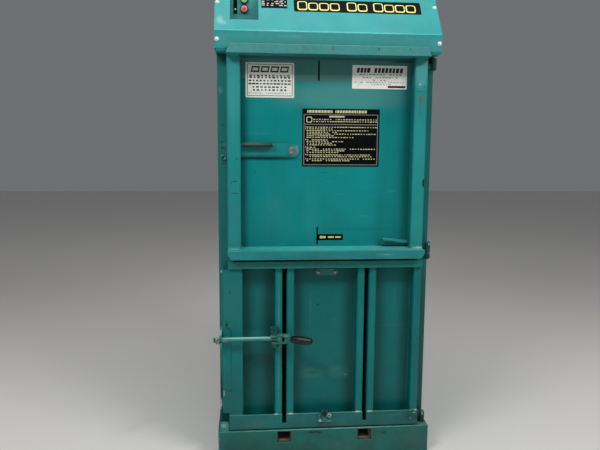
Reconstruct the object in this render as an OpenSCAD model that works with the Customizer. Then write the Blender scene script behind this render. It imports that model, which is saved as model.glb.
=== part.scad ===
// Vertical baling press for waste card and film, mill size.
// Millimetres, Z up, X to the right of a person who faces the doors, Y to the back.
// The origin is on the floor, in line with the front edges of the body.

/* [Body] */
// Outer width across the side walls
body_w = 900; // [870:5:960]
// Depth from the front edges to the back wall's outer face
body_d = 700; // [640:10:800]
// Thickness of the side walls and the back wall
wall_t = 5; // [4:1:7]
// Width of the flange folded inwards at the front of each side wall
flange_w = 60; // [54:1:70]
// Thickness of the plate that closes the chamber above
top_t = 12; // [8:1:16]
// Thickness of the chamber floor
floor_t = 10; // [6:1:14]
// Distance between the middles of the two strap grooves
groove_pitch = 350; // [320:5:360]
// Width of the strap grooves in the floor and the platen
groove_w = 30; // [20:1:36]
// Size of the channel behind each strap groove in the back wall
guide_w = 60; // [50:2:70]
// Depth of the channel behind each strap groove in the back wall
guide_d = 30; // [20:1:40]

/* [Base] */
// Height of the base frame
base_h = 120; // [110:1:150]
// How far the base stands out past each side wall
base_over = 8; // [6:1:16]
// How far the base reaches in front of the body
base_front = 78; // [76:1:100]
// Thickness of the base plates
base_t = 6; // [4:1:8]
// Width of the flange round the top of the base
base_flange = 28; // [20:1:34]
// Width of the strap channels that end in the front of the base
channel_w = 60; // [50:1:66]
// Height of the strap channels
channel_h = 50; // [40:1:60]
// Wall of the strap channels
channel_t = 4; // [3:1:5]
// Height of the block that the closed door's post drops on
rest_h = 39; // [30:1:50]

/* [Doors] */
// Width of body left bare beside the doors
column_show = 40; // [38:1:48]
// Gap between the doors and the body's front flanges
door_gap = 4; // [4:0.5:6]
// Thickness of the doors from the gap to the face of the stiles
door_t = 63; // [58:1:68]
// Depth of the recesses from the face of the stiles
recess_d = 50; // [40:1:54]
// Sheet thickness of the doors
sheet_t = 3; // [2:0.5:4]
// Bend radius of the folded sheets, at mid thickness
bend_r = 8; // [4:0.5:9]
// Gap between the base and the lower door
lower_gap = 4.5; // [3:0.5:8]
// Height of the lower door
lower_h = 734; // [680:2:780]
// Gap between the two doors
split_gap = 12; // [6:1:20]
// Height of the upper door
upper_h = 829; // [780:1:880]
// Gap between the upper door and the lintel
head_gap = 3.5; // [2:0.5:6]

/* [Lower door] */
// Width of the post at the latch side
post_w = 86; // [70:1:90]
// How far the post reaches past the rails
post_over = 26; // [18:1:26]
// Height of the bottom rail
rail_h = 65; // [50:1:80]
// Thickness of the bottom rail's plate
rail_t = 5; // [4:1:6]
// Height of the sill under the strap slots
slot_sill = 24; // [16:1:40]
// Width of the strap slots
slot_w = 18; // [12:1:22]
// Width of the lip on each side of a strap slot
lip_w = 32; // [26:1:36]
// Width of the stile at the hinge side
hinge_stile_w = 33; // [28:1:40]
// Height of the top strip's face
lower_strip_h = 29; // [20:1:40]
// How far the top strip stands in front of the stiles
lower_strip_out = 12; // [8:1:16]
// Height of the gap between the bottom of the post and the bottom of the door
post_lift = 76; // [66:1:90]
// Width of the doubling plate on the outer edge of the post
pad_w = 34; // [26:1:40]
// Height of the doubling plate
pad_h = 311; // [280:1:330]
// Height of the doubling plate's upper end above the tie rod
pad_top = 49; // [40:1:60]

/* [Upper door] */
// Width of the stiles
stile_w = 55; // [45:1:60]
// How far the top strip and the bottom rail stand in front of the stiles
proud = 37; // [30:1:45]
// Height of the bottom rail's face
ledge_h = 36; // [28:1:46]
// Rise of the ledge from the stiles' face to the panel
ledge_rise = 6; // [3:1:12]
// Height of the top strip's face
strip_h = 36; // [30:1:44]
// Plate thickness of the top strip
strip_t = 5; // [4:1:6]
// How much narrower the top strip is at its upper edge, at each end
strip_cut = 14; // [8:1:20]
// Cut at the lower corners of the bottom rail
ledge_cut = 15; // [8:1:20]
// Width of the sight slots
sight_w = 7; // [5:1:10]
// Length of the upper sight slot
sight_top_h = 82; // [60:1:100]
// Length of the lower sight slot
sight_low_h = 75; // [60:1:100]
// Distance of the sight slots from the middle, to the left
sight_x = 34; // [20:1:60]

/* [Door latch] */
// Height of the flat latch bar
latch_h = 55; // [44:1:60]
// Thickness of the latch bar
latch_t = 8; // [6:1:9]
// Distance of the pivot bolt from the middle, to the left
latch_x = 143; // [120:1:170]
// Height of the pivot bolt above the bottom of the upper door
latch_z = 445.5; // [400:0.5:500]
// Greatest lift of the latch in degrees
latch_lift = 14; // [12:1:16]
// Radius of the pivot bolt
latch_bolt_r = 8; // [6:1:10]
// Diameter of the round grip on the latch bar
latch_grip_d = 18; // [14:1:22]
// Length of the round grip
latch_grip_l = 124; // [90:2:140]
// Thickness of the keeper's base plate
keeper_t = 3; // [2:0.5:3.5]

/* [Tie rod latch] */
// Height of the rod's axis above the bottom of the lower door
rod_z = 409.5; // [350:0.5:470]
// Diameter of the tie rod
rod_d = 20; // [16:1:24]
// Distance from the stiles' face to the rod's axis
rod_out = 30; // [26:1:36]
// Distance of the lever's pivot from the middle, to the left
lever_x = 220; // [212:1:228]
// Distance from the lever's pivot to the rod's pin, along X
toggle_x = 22; // [22:1:26]
// How far the rod's pin lies behind the lever's pivot when closed
toggle_y = 3; // [2:0.5:4]
// Thickness of the lever's cheeks and the bracket's ears
cheek_t = 8; // [6:1:10]
// Radius of the lever's pivot pins
pivot_r = 8; // [6:0.5:9]
// Diameter of the plastic grip at its thickest
grip_d = 34; // [28:1:40]
// Length of the plastic grip
grip_l = 94; // [80:1:120]
// Angle at which the lever's arm stands away from the door
arm_lean = 26; // [14:1:30]

/* [Hinges] */
// Radius of the hinge knuckles
knuckle_r = 12; // [10:1:13]
// Radius of the hinge pins
pin_r = 6; // [5:0.5:8]
// Height of each hinge knuckle
knuckle_h = 22; // [18:1:24]
// Thickness of the hinge leaves
leaf_t = 8; // [6:1:10]
// Distance of the hinge axis from the body's outer face
hinge_in = 10; // [6:1:14]

/* [Hood] */
// How far the hood's lip stands in front of the body
lip_out = 91; // [88:1:96]
// Height of the hood's lip
lip_h = 69; // [60:1:80]
// Slope of the fascia from the vertical, in degrees
slope = 35; // [28:1:38]
// Height of the hood above the crease
hood_h = 250; // [230:2:290]
// Sheet thickness of the hood
hood_t = 2; // [1.5:0.5:2.5]
// Gap between the hood's sides and the body
hood_gap = 3.5; // [2:0.5:6]
// Distance from the hood's lower edge to the top of the side walls
lip_drop = 8; // [4:1:12]
// Radius of the hood's dome bolts
dome_r = 9; // [7:0.5:11]

/* [Controls] */
// Distance of the push-button recess from the hood's left side
ctrl_x = 61; // [50:1:90]
// Width of the recess
ctrl_w = 113; // [96:1:124]
// Height of the recess's lower edge above the crease
ctrl_z = 48; // [40:1:60]
// Height of the recess's back plate
ctrl_h = 124; // [116:1:132]
// Radius of the buttons' bezels
bezel_r = 16.5; // [15:0.5:18]
// Radius of the buttons' caps
cap_r = 12.5; // [10:0.5:13]
// Distance between the two buttons
button_pitch = 37; // [36:1:42]
// Travel of the buttons
button_travel = 5; // [3:0.5:6]

/* [Ram] */
// Stroke of the ram
stroke = 720; // [600:10:760]
// Height of the platen
platen_h = 120; // [100:2:140]
// Gap between the parked platen and the top plate
park_gap = 23; // [15:1:30]
// Gap between the platen and the chamber walls
platen_gap = 16; // [14:1:24]
// Outer radius of the cylinder's barrel
barrel_r = 45; // [42:1:52]
// Radius of the cylinder's bore
bore_r = 37.5; // [32:0.5:40]
// Radius of the piston rod
ram_rod_r = 22.5; // [18:0.5:28]
// Height of the piston
piston_h = 50; // [40:1:70]
// Length of the gland
gland_h = 62; // [50:1:70]
// Thickness of the guide rails
rail_bar_t = 12; // [10:1:14]
// Width of the guide rails
rail_bar_w = 40; // [30:1:50]

/* [Power pack] */
// Radius of the motor's shell
motor_r = 78; // [70:1:85]
// Length of the motor's shell
motor_l = 230; // [200:5:250]
// Length of the oil tank
tank_l = 300; // [260:5:310]
// Width of the oil tank
tank_w = 250; // [200:5:260]
// Height of the oil tank
tank_h = 190; // [150:5:210]
// Width of the electric box
case_w = 160; // [140:5:170]
// Depth of the electric box
case_d = 70; // [60:5:90]
// Height of the electric box
case_h = 210; // [180:5:230]
// Width of the valve block
valve_w = 150; // [140:5:160]
// Height of the valve block
valve_h = 112; // [100:2:120]
// Outer radius of the hydraulic hoses
hose_r = 9; // [7:0.5:10]

/* [Hidden] */
$fn = 48;
fit = 0.05;
clear = 0.3;

// Heights that follow from the stack of base and doors.
lower_z0 = base_h + lower_gap;
lower_z1 = lower_z0 + lower_h;
upper_z0 = lower_z1 + split_gap;
upper_z1 = upper_z0 + upper_h;
body_top = upper_z1 + head_gap;
lid_top = body_top + top_t;

// Places across the machine.
half_w = body_w / 2;
inner_w = half_w - wall_t;
door_x = half_w - column_show;
post_x = -door_x - post_over;
groove_x = groove_pitch / 2;

// Planes of the doors, counted from the body's front edges.
back_y = -door_gap;
face_y = back_y - door_t;
recess_y = face_y + recess_d;
proud_y = face_y - proud;
strip_z0 = upper_z1 - strip_t;

// Hinge axis, common to both doors.
hinge_x = half_w - hinge_in;
hinge_y = (back_y + face_y) / 2;
knuckle_gap = 0.4;
knuckle_rise = knuckle_h + knuckle_gap;
low_body_z = base_h;
mid_low_z = lower_z1 + 1;
mid_body_z = mid_low_z + knuckle_rise;
top_door_z = upper_z1 - 2 * knuckle_rise - 3;

// Screw holes in the upper door's top strip.
strip_hole_xs = [10, 196, 324];

// Block on the base, left of the lower door's rail.
rest_x0 = -half_w + 2;
rest_w = column_show - 5;
rest_t = 12;
rest_r = 7;

// Tie rod latch.
rod_y = face_y - rod_out;
rod_zc = lower_z0 + rod_z;
rod_r = rod_d / 2;
pivot_y = rod_y - toggle_y;
pin_x = -lever_x + toggle_x;
rod_pin_r = 5;
eye_r = 13;
cheek_z = rod_r + 0.5;
ear_z = cheek_z + cheek_t + 0.5;
fork_x = -half_w + 4;
fork_t = 8;
nut_gap = 0.8;
nut_w = 16;
thread_end = 9;

// Door latch.
bar_y1 = recess_y - 1;
bar_y0 = bar_y1 - latch_t;
latch_zc = upper_z0 + latch_z;
latch_tip = -door_x + 8;
tongue_x = -door_x + 6;
tongue_t = 8;

// Hood and controls.
hood_x = half_w + hood_gap + hood_t;
hood_z0 = body_top + lip_drop;
crease_z = hood_z0 + lip_h;
hood_z1 = crease_z + hood_h;
lip_y = -lip_out;
crown_y = lip_y + hood_h * tan(slope);
hood_y1 = body_d + hood_gap + hood_t;
ctrl_x0 = -hood_x + ctrl_x;
ctrl_x1 = ctrl_x0 + ctrl_w;
ctrl_z0 = crease_z + ctrl_z;
ctrl_y = fascia_y(ctrl_z0 + ctrl_h);
ctrl_t = 2;
red_z = ctrl_z0 + 57;
green_z = red_z + button_pitch;
button_x = ctrl_x0 + ctrl_w / 2;

// Ram and cylinder.
ram_y = body_d / 2;
park_z1 = body_top - park_gap;
park_z0 = park_z1 - platen_h;
gland_z0 = body_top;
piston_z0 = gland_z0 + gland_h + 8 + stroke;
piston_z1 = piston_z0 + piston_h;
barrel_z1 = piston_z1 + 12;
cap_t = 28;
flange_r = 85;
flange_t = 20;
rod_foot_z = park_z0 + 30;
rail_y0 = ram_y - rail_bar_w / 2;
shoe_w = 34;
sole_h = 50;
deck_t = 12;

// Depth of the fascia's outer face at a height.
function fascia_y(z) = lip_y + (z - crease_z) * tan(slope);

// Outline of a folded sheet from the path of its middle line, with round bends.
function unit(v) = v / norm(v);
function left_of(v) = [-v[1], v[0]];
function turned(v, a) = [v[0] * cos(a) - v[1] * sin(a), v[0] * sin(a) + v[1] * cos(a)];
function bend(a, b, c, off, r, steps) =
    let (u = unit(b - a), v = unit(c - b))
    let (turn = atan2(cross(u, v), u * v), side = sign(turn))
    let (centre = b - u * r * tan(abs(turn) / 2) + left_of(u) * side * r)
    [for (i = [0:steps]) centre - turned(left_of(u), turn * i / steps) * side * (r - side * off)];
function sheet_side(path, off, r, steps) =
    let (last = len(path) - 1)
    let (first_n = left_of(unit(path[1] - path[0])), last_n = left_of(unit(path[last] - path[last - 1])))
    concat([path[0] + first_n * off],
        [for (i = [1:last - 1]) each bend(path[i - 1], path[i], path[i + 1], off, r, steps)],
        [path[last] + last_n * off]);
function backwards(list) = [for (i = [len(list) - 1:-1:0]) list[i]];
function sheet_outline(path, t, r, steps) =
    concat(sheet_side(path, t / 2, r, steps), backwards(sheet_side(path, -t / 2, r, steps)));

// Box between two corners.
module box(lo, hi) {
    translate(lo) cube(hi - lo);
}

// Round bars along each axis.
module bar_x(y, z, r, x0, x1) {
    translate([x0, y, z]) rotate([0, 90, 0]) cylinder(r = r, h = x1 - x0);
}
module bar_y(x, z, r, y0, y1) {
    translate([x, y0, z]) rotate([-90, 0, 0]) cylinder(r = r, h = y1 - y0);
}
module bar_z(x, y, r, z0, z1) {
    translate([x, y, z0]) cylinder(r = r, h = z1 - z0);
}

// Hexagon heads along each axis, by their width across flats.
module hex_x(y, z, flats, x0, x1) {
    translate([x0, y, z]) rotate([0, 90, 0]) cylinder(d = flats / cos(30), h = x1 - x0, $fn = 6);
}
module hex_y(x, z, flats, y0, y1) {
    translate([x, y0, z]) rotate([-90, 0, 0]) cylinder(d = flats / cos(30), h = y1 - y0, $fn = 6);
}
module hex_z(x, y, flats, z0, z1) {
    translate([x, y, z0]) cylinder(d = flats / cos(30), h = z1 - z0, $fn = 6);
}

// Round head that stands on z = 0.
module dome(r, h) {
    ball = (r * r + h * h) / (2 * h);
    intersection() {
        translate([0, 0, h - ball]) sphere(r = ball);
        cylinder(r = r + 1, h = h + 1);
    }
}

// Upright folded sheet from a path seen from above.
module folded(path, z0, z1) {
    translate([0, 0, z0]) linear_extrude(z1 - z0) polygon(sheet_outline(path, sheet_t, bend_r, 4));
}

// Outline in the YZ plane, drawn out along X.
module along_x(outline, x0, x1) {
    translate([x0, 0, 0]) rotate([90, 0, 90]) linear_extrude(x1 - x0) polygon(outline);
}

// Places a child on the fascia with its Z along the outward normal.
module on_fascia(x, z) {
    translate([x, fascia_y(z), z]) rotate([90 - slope, 0, 0]) children();
}

// BASE AND BODY

// Box frame of folded plate, with a lug beside the lower door's rail.
module base_frame() {
    half = half_w + base_over;
    rest_y0 = face_y - 4;
    // Lug at the latch side, cut from plate.
    color("teal") translate([rest_x0, rest_y0 + rest_t, base_h]) rotate([90, 0, 0]) linear_extrude(rest_t) hull() {
        square([rest_w, 1]);
        for (x = [rest_r, rest_w - rest_r]) translate([x, rest_h - rest_r]) circle(rest_r);
    }
    color("teal") difference() {
        box([-half, -base_front, 0], [half, body_d, base_h]);
        box([-half + base_t, -base_front + base_t, base_t], [half - base_t, body_d - base_t, base_h - base_t]);
        box([-half + base_flange, base_flange, base_t], [half - base_flange, body_d - base_flange, base_h + 1]);
        for (side = [-1, 1])
            translate([side * groove_x, 0, 0])
                box([-channel_w / 2, -base_front - 1, base_h - base_t - channel_h],
                    [channel_w / 2, -base_front + base_t + 1, base_h - base_t]);
    }
}

module strap_channels() {
    z0 = base_h - base_t - channel_h;
    color("saddlebrown") for (side = [-1, 1]) translate([side * groove_x, 0, 0]) difference() {
        box([-channel_w / 2, -base_front + base_t, z0], [channel_w / 2, body_d - base_t, base_h - base_t]);
        box([-channel_w / 2 + channel_t, -base_front, z0 + channel_t],
            [channel_w / 2 - channel_t, body_d, base_h]);
    }
}

module floor_plate() {
    color("dimgray") difference() {
        box([-inner_w, wall_t, base_h], [inner_w, body_d - wall_t, base_h + floor_t]);
        for (side = [-1, 1])
            translate([side * groove_x, 0, 0])
                box([-groove_w / 2, base_flange, base_h - 1],
                    [groove_w / 2, body_d - base_flange, base_h + floor_t + 1]);
    }
}

// Side wall at the right, folded inwards at the front.
module side_wall() {
    translate([0, 0, base_h]) linear_extrude(body_top - base_h) difference() {
        translate([half_w - flange_w, 0]) square([flange_w, body_d]);
        translate([half_w - flange_w - 1, wall_t]) square([flange_w + 1 - wall_t, body_d]);
    }
}
// The left wall carries the forked plate that the tie rod's nut pulls on.
module left_side_wall() {
    prong = 20;
    color("darkcyan") {
        mirror([1, 0, 0]) side_wall();
        difference() {
            box([fork_x, rod_y - rod_r - 6, rod_zc - rod_r - prong], [fork_x + fork_t, 0, rod_zc + rod_r + prong]);
            bar_x(rod_y, rod_zc, rod_r + 0.5, fork_x - 1, fork_x + fork_t + 1);
            box([fork_x - 1, rod_y - rod_r - 10, rod_zc - rod_r - 0.5],
                [fork_x + fork_t + 1, rod_y, rod_zc + rod_r + 0.5]);
        }
    }
}
module right_side_wall() {
    color("darkcyan") side_wall();
}

module back_wall() {
    color("darkcyan") difference() {
        box([-inner_w, body_d - wall_t, base_h], [inner_w, body_d, body_top]);
        for (side = [-1, 1])
            translate([side * groove_x, 0, 0])
                box([-slot_w / 2, body_d - wall_t - 1, base_h + floor_t + 20],
                    [slot_w / 2, body_d + 1, park_z1 - 10]);
    }
}

module back_strap_guides() {
    color("darkcyan") for (side = [-1, 1]) translate([side * groove_x, 0, 0]) difference() {
        box([-guide_w / 2, body_d, base_h], [guide_w / 2, body_d + guide_d, hood_z0 - 20]);
        box([-guide_w / 2 + channel_t, body_d - 1, base_h + channel_t],
            [guide_w / 2 - channel_t, body_d + guide_d - channel_t, hood_z0 - 20 - channel_t]);
    }
}

module top_plate() {
    color("darkcyan") difference() {
        box([-half_w, 0, body_top], [half_w, body_d, lid_top]);
        bar_z(0, ram_y, barrel_r + clear, body_top - 1, lid_top + 1);
        for (a = [45:90:315])
            translate([0, ram_y, 0]) rotate(a) bar_z(flange_r - 15, 0, 6.1, body_top - 1, lid_top + 1);
    }
}

// Box beam across the front, above the doors, that carries the hood.
lintel_t = 3;
module lintel() {
    y0 = lip_y + hood_t;
    z1 = crease_z - 6;
    color("darkcyan") difference() {
        box([-half_w, y0, body_top], [half_w, 0, z1]);
        box([-half_w + lintel_t, y0 + lintel_t, body_top + lintel_t], [half_w - lintel_t, -lintel_t, z1 - lintel_t]);
        for (side = [-1, 1])
            bar_y(side * bolt_x, hood_z0 + lip_h / 2, 4.1, y0 - 1, y0 + lintel_t + 1);
    }
}

module guide_rails() {
    color("slategray") for (side = [0, 1]) mirror([side, 0, 0])
        box([inner_w - rail_bar_t, rail_y0, park_z0 - stroke - 60], [inner_w, rail_y0 + rail_bar_w, body_top]);
}

// LATCH PARTS ON THE BODY

// Plate on the left flange, with a tongue inside the hollow stile that holds the latch bar.
keeper_bolt_z = latch_zc - latch_h / 2 - 2;
module latch_keeper() {
    z0 = latch_zc - latch_h / 2 - 26;
    z1 = latch_zc + 24;
    color("slategray") difference() {
        union() {
            box([-half_w + 10, -keeper_t, z0], [tongue_x + tongue_t, 0, z1]);
            box([tongue_x, bar_y0 - 10, z0], [tongue_x + tongue_t, 0, z1]);
        }
        box([tongue_x - 1, bar_y0 - 0.7, latch_zc - latch_h / 2 - clear],
            [tongue_x + tongue_t + 1, bar_y1 + 0.7, z1 + 1]);
        bar_y(-half_w + 22, keeper_bolt_z, 5.1, -keeper_t - 1, 1);
    }
}

module keeper_bolt() {
    color("silver") difference() {
        union() {
            bar_y(-half_w + 22, keeper_bolt_z, 12, -keeper_t - 8, -keeper_t);
            bar_y(-half_w + 22, keeper_bolt_z, 5, -keeper_t - 1, 0);
        }
        hex_y(-half_w + 22, keeper_bolt_z, 8, -keeper_t - 9, -keeper_t - 3);
    }
}

// HINGES

// Body side of each hinge: a pad on the flange, and a knuckle on a plate that stands forward.
module hinge_leaves() {
    foot_t = 6;
    color("darkcyan") {
        for (z = [low_body_z, mid_body_z, top_door_z + knuckle_rise]) difference() {
            union() {
                box([door_x + 4, -foot_t, z], [half_w - 1, 0, z + knuckle_h]);
                box([hinge_x - leaf_t / 2, hinge_y, z], [hinge_x + leaf_t / 2, -foot_t, z + knuckle_h]);
                bar_z(hinge_x, hinge_y, knuckle_r, z, z + knuckle_h);
                // Gusset that ties the lowest knuckle to the base.
                if (z == low_body_z) translate([0, hinge_y + leaf_t / 2, 0]) rotate([90, 0, 0])
                    linear_extrude(leaf_t) polygon([[hinge_x, z], [half_w + base_over, z], [hinge_x, z + knuckle_h]]);
            }
            bar_z(hinge_x, hinge_y, pin_r + fit, z - 1, z + knuckle_h + 1);
        }
    }
}

// One pin a hinge; the middle one carries both doors.
module hinge_pins() {
    head_r = pin_r + 3;
    head_h = 6;
    color("silver") {
        bar_z(hinge_x, hinge_y, pin_r, low_body_z, low_body_z + 2 * knuckle_rise);
        bar_z(hinge_x, hinge_y, head_r, low_body_z + 2 * knuckle_rise, low_body_z + 2 * knuckle_rise + head_h);
        bar_z(hinge_x, hinge_y, pin_r, mid_low_z - 4, mid_low_z + 3 * knuckle_rise);
        bar_z(hinge_x, hinge_y, head_r, mid_low_z + 3 * knuckle_rise, mid_low_z + 3 * knuckle_rise + head_h);
        bar_z(hinge_x, hinge_y, pin_r, top_door_z - knuckle_gap, top_door_z + 2 * knuckle_rise);
        bar_z(hinge_x, hinge_y, head_r, top_door_z - knuckle_gap - head_h, top_door_z - knuckle_gap);
    }
}

// Door side of a hinge, on an arm that keeps within the other door's swing where it stands above its own.
module door_knuckle(z, root_z) {
    swing = 3;
    difference() {
        union() {
            bar_z(hinge_x, hinge_y, knuckle_r, z, z + knuckle_h);
            translate([0, hinge_y + leaf_t / 2, 0]) rotate([90, 0, 0]) linear_extrude(leaf_t)
                polygon(root_z < z ? [[door_x, root_z], [door_x, lower_z1 - 1], [door_x + swing, lower_z1 - 1],
                    [door_x + swing, z + knuckle_h], [hinge_x, z + knuckle_h], [hinge_x, z], [hinge_x - knuckle_r, z]]
                    : [[door_x, z], [door_x, z + knuckle_h], [hinge_x, z + knuckle_h], [hinge_x, z]]);
        }
        bar_z(hinge_x, hinge_y, pin_r + fit, z - 1, z + knuckle_h + 1);
    }
}

// HOOD AND CONTROLS

// Side outline of the hood, drawn in by a distance all round.
function hood_outline(in) =
    let (z0 = hood_z0 - (in > 0 ? 1 : 0), y0 = lip_y + in, lean = in / cos(slope))
    let (z1 = hood_z1 - in, y1 = hood_y1 - in)
    let (crease = crease_z - (lean - in) / tan(slope))
    [[y0, z0], [y0, crease], [y0 + (z1 - crease) * tan(slope), z1], [y1, z1], [y1, z0]];

vent_n = 6;
vent_pitch = 22;
vent_l = 150;
vent_w = 8;
vent_rise = 70;
cover_vents = 8;
cover_vent_z = 45;
cover_lap = 12;
bolt_bore_r = 4.1;
cover_x = half_w - 60;
cover_z0 = lid_top + 20;
cover_z1 = hood_z1 - 25;
bolt_x = hood_x - 10.5;
fascia_bolt_z = crease_z + 123;
module hood() {
    color("mediumturquoise") difference() {
        along_x(hood_outline(0), -hood_x, hood_x);
        along_x(hood_outline(hood_t), -hood_x + hood_t, hood_x - hood_t);
        bar_z(0, ram_y, barrel_r + 3, hood_z1 - 10, hood_z1 + 10);
        bar_z(pipe_x, ram_y, pipe_r + 2, hood_z1 - 10, hood_z1 + 10);
        box([ctrl_x0, lip_y, ctrl_z0], [ctrl_x1, ctrl_y - 0.01, ctrl_z0 + ctrl_h]);
        box([-cover_x + cover_lap, hood_y1 - 10, cover_z0 + cover_lap],
            [cover_x - cover_lap, hood_y1 + 10, cover_z1 - cover_lap]);
        for (side = [-1, 1], i = [0:vent_n - 1])
            translate([side * hood_x, body_d * 0.62, crease_z + vent_rise + i * vent_pitch])
                cube([5 * hood_t, vent_l, vent_w], center = true);
        for (side = [-1, 1]) {
            bar_y(side * bolt_x, hood_z0 + lip_h / 2, bolt_bore_r, lip_y - 5, lip_y + 5);
            on_fascia(side * bolt_x, fascia_bolt_z) translate([0, 0, -5]) cylinder(r = bolt_bore_r, h = 10);
        }
    }
}

module rear_cover() {
    color("mediumturquoise") difference() {
        box([-cover_x, hood_y1, cover_z0], [cover_x, hood_y1 + hood_t, cover_z1]);
        for (side = [-1, 1], i = [0:cover_vents - 1])
            translate([side * cover_x * 0.5, hood_y1, cover_z0 + cover_vent_z + i * vent_pitch])
                cube([cover_x * 0.6, 5 * hood_t, vent_w], center = true);
        bar_y(gland_x, gland_z, gland_r, hood_y1 - 1, hood_y1 + hood_t + 1);
    }
}

// Gland for the mains lead, low in the rear cover.
gland_x = -cover_x + 60;
gland_r = 12;
gland_z = cover_z0 + 24;
gland_hex = 30;
module cable_gland() {
    z = gland_z;
    bore = 7;
    color("dimgray") difference() {
        union() {
            bar_y(gland_x, z, gland_r - clear, hood_y1 - 14, hood_y1 + hood_t + 1);
            hex_y(gland_x, z, gland_hex, hood_y1 + hood_t, hood_y1 + hood_t + 9);
            bar_y(gland_x, z, gland_r + 1, hood_y1 + hood_t + 9, hood_y1 + hood_t + 24);
        }
        bar_y(gland_x, z, bore, hood_y1 - 15, hood_y1 + hood_t + 25);
    }
}

// Dome bolts through the lip into the lintel, and through the fascia with a nut behind.
module hood_bolts() {
    color("silver") for (side = [-1, 1]) {
        translate([side * bolt_x, lip_y, hood_z0 + lip_h / 2]) rotate([90, 0, 0]) {
            dome(dome_r, 6);
            translate([0, 0, -hood_t - lintel_t]) cylinder(r = 4, h = hood_t + lintel_t + 0.5);
        }
        on_fascia(side * bolt_x, fascia_bolt_z) {
            dome(dome_r, 6);
            translate([0, 0, -14]) cylinder(r = 4, h = 14.5);
            translate([0, 0, -hood_t - 7]) cylinder(d = 13 / cos(30), h = 7, $fn = 6);
        }
    }
}

// Folded pan that closes the recess in the fascia and carries the push buttons.
module control_pan() {
    z1 = ctrl_z0 + ctrl_h;
    behind = hood_t / cos(slope);
    color("teal") difference() {
        intersection() {
            box([ctrl_x0 - ctrl_t, lip_y, ctrl_z0 - ctrl_t], [ctrl_x1 + ctrl_t, ctrl_y + ctrl_t, z1]);
            along_x([[fascia_y(ctrl_z0 - 9) + behind, ctrl_z0 - 9], [ctrl_y + 20, ctrl_z0 - 9],
                [ctrl_y + 20, z1 + 9], [fascia_y(z1 + 9) + behind, z1 + 9]],
                ctrl_x0 - ctrl_t, ctrl_x1 + ctrl_t);
        }
        box([ctrl_x0, lip_y - 1, ctrl_z0], [ctrl_x1, ctrl_y, z1 + 1]);
        for (z = [red_z, green_z])
            bar_y(button_x, z, cap_r + 2, ctrl_y - 1, ctrl_y + ctrl_t + 1);
    }
}

module button_bezels() {
    color("black") for (z = [red_z, green_z]) difference() {
        union() {
            bar_y(button_x, z, bezel_r, ctrl_y - 8, ctrl_y);
            bar_y(button_x, z, cap_r + 1.9, ctrl_y - 1, ctrl_y + 30);
        }
        bar_y(button_x, z, cap_r + fit, ctrl_y - 9, ctrl_y + 26);
    }
}

module push_button(z) {
    bar_y(button_x, z, cap_r, ctrl_y - 12, ctrl_y + 16);
    translate([button_x, ctrl_y - 12, z]) rotate([90, 0, 0]) dome(cap_r, 3);
}
module start_button() {
    color("green") push_button(green_z);
}
module stop_button() {
    color("red") push_button(red_z);
}

// Steel box for the contactor, with its lid towards the fascia.
module electric_box() {
    x0 = ctrl_x1 + 12;
    y0 = 60;
    size = [case_w, case_d, case_h];
    lid = 4;
    wall = 2;
    color("lightgray") difference() {
        union() {
            translate([x0, y0, lid_top]) cube(size);
            translate([x0 - lid, y0 - lid, lid_top + lid]) cube([size[0] + 2 * lid, lid, size[2] - 2 * lid]);
        }
        translate([x0 + wall, y0 + wall, lid_top + wall]) cube(size - [2 * wall, 2 * wall, 2 * wall]);
    }
}

// CYLINDER AND RAM

module cylinder_barrel() {
    color("dimgray") difference() {
        union() {
            bar_z(0, ram_y, barrel_r, body_top, barrel_z1 + cap_t);
            bar_z(0, ram_y, flange_r, lid_top, lid_top + flange_t);
            bar_z(0, ram_y, barrel_r + 5, barrel_z1, barrel_z1 + cap_t);
            bar_x(ram_y, low_port_z, 13, bore_r + 3, barrel_r + boss_h);
            bar_x(ram_y, top_port_z, 13, -barrel_r - boss_h, -bore_r - 3);
        }
        bar_z(0, ram_y, bore_r, body_top + gland_h, barrel_z1);
        bar_z(0, ram_y, bore_r + 1, body_top - 1, body_top + gland_h);
        for (a = [45:90:315])
            translate([0, ram_y, 0]) rotate(a) bar_z(flange_r - 15, 0, 6.1, lid_top - 1, lid_top + flange_t + 1);
        bar_x(ram_y, low_port_z, 5, 0, barrel_r + boss_h + 1);
        bar_x(ram_y, top_port_z, 5, -barrel_r - boss_h - 1, 0);
    }
}

module cylinder_gland() {
    color("goldenrod") difference() {
        bar_z(0, ram_y, bore_r + 1, body_top, body_top + gland_h);
        bar_z(0, ram_y, ram_rod_r + fit, body_top - 1, body_top + gland_h + 1);
        translate([0, ram_y, body_top + gland_h / 2]) rotate_extrude()
            translate([ram_rod_r, 0]) square([4, 6], center = true);
    }
}

module flange_bolts() {
    color("silver") for (a = [45:90:315]) translate([0, ram_y, 0]) rotate(a) {
        bar_z(flange_r - 15, 0, 6, body_top - 4, lid_top + flange_t + 0.5);
        hex_z(flange_r - 15, 0, 18, lid_top + flange_t, lid_top + flange_t + 8);
        hex_z(flange_r - 15, 0, 18, body_top - 10, body_top);
    }
}

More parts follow.
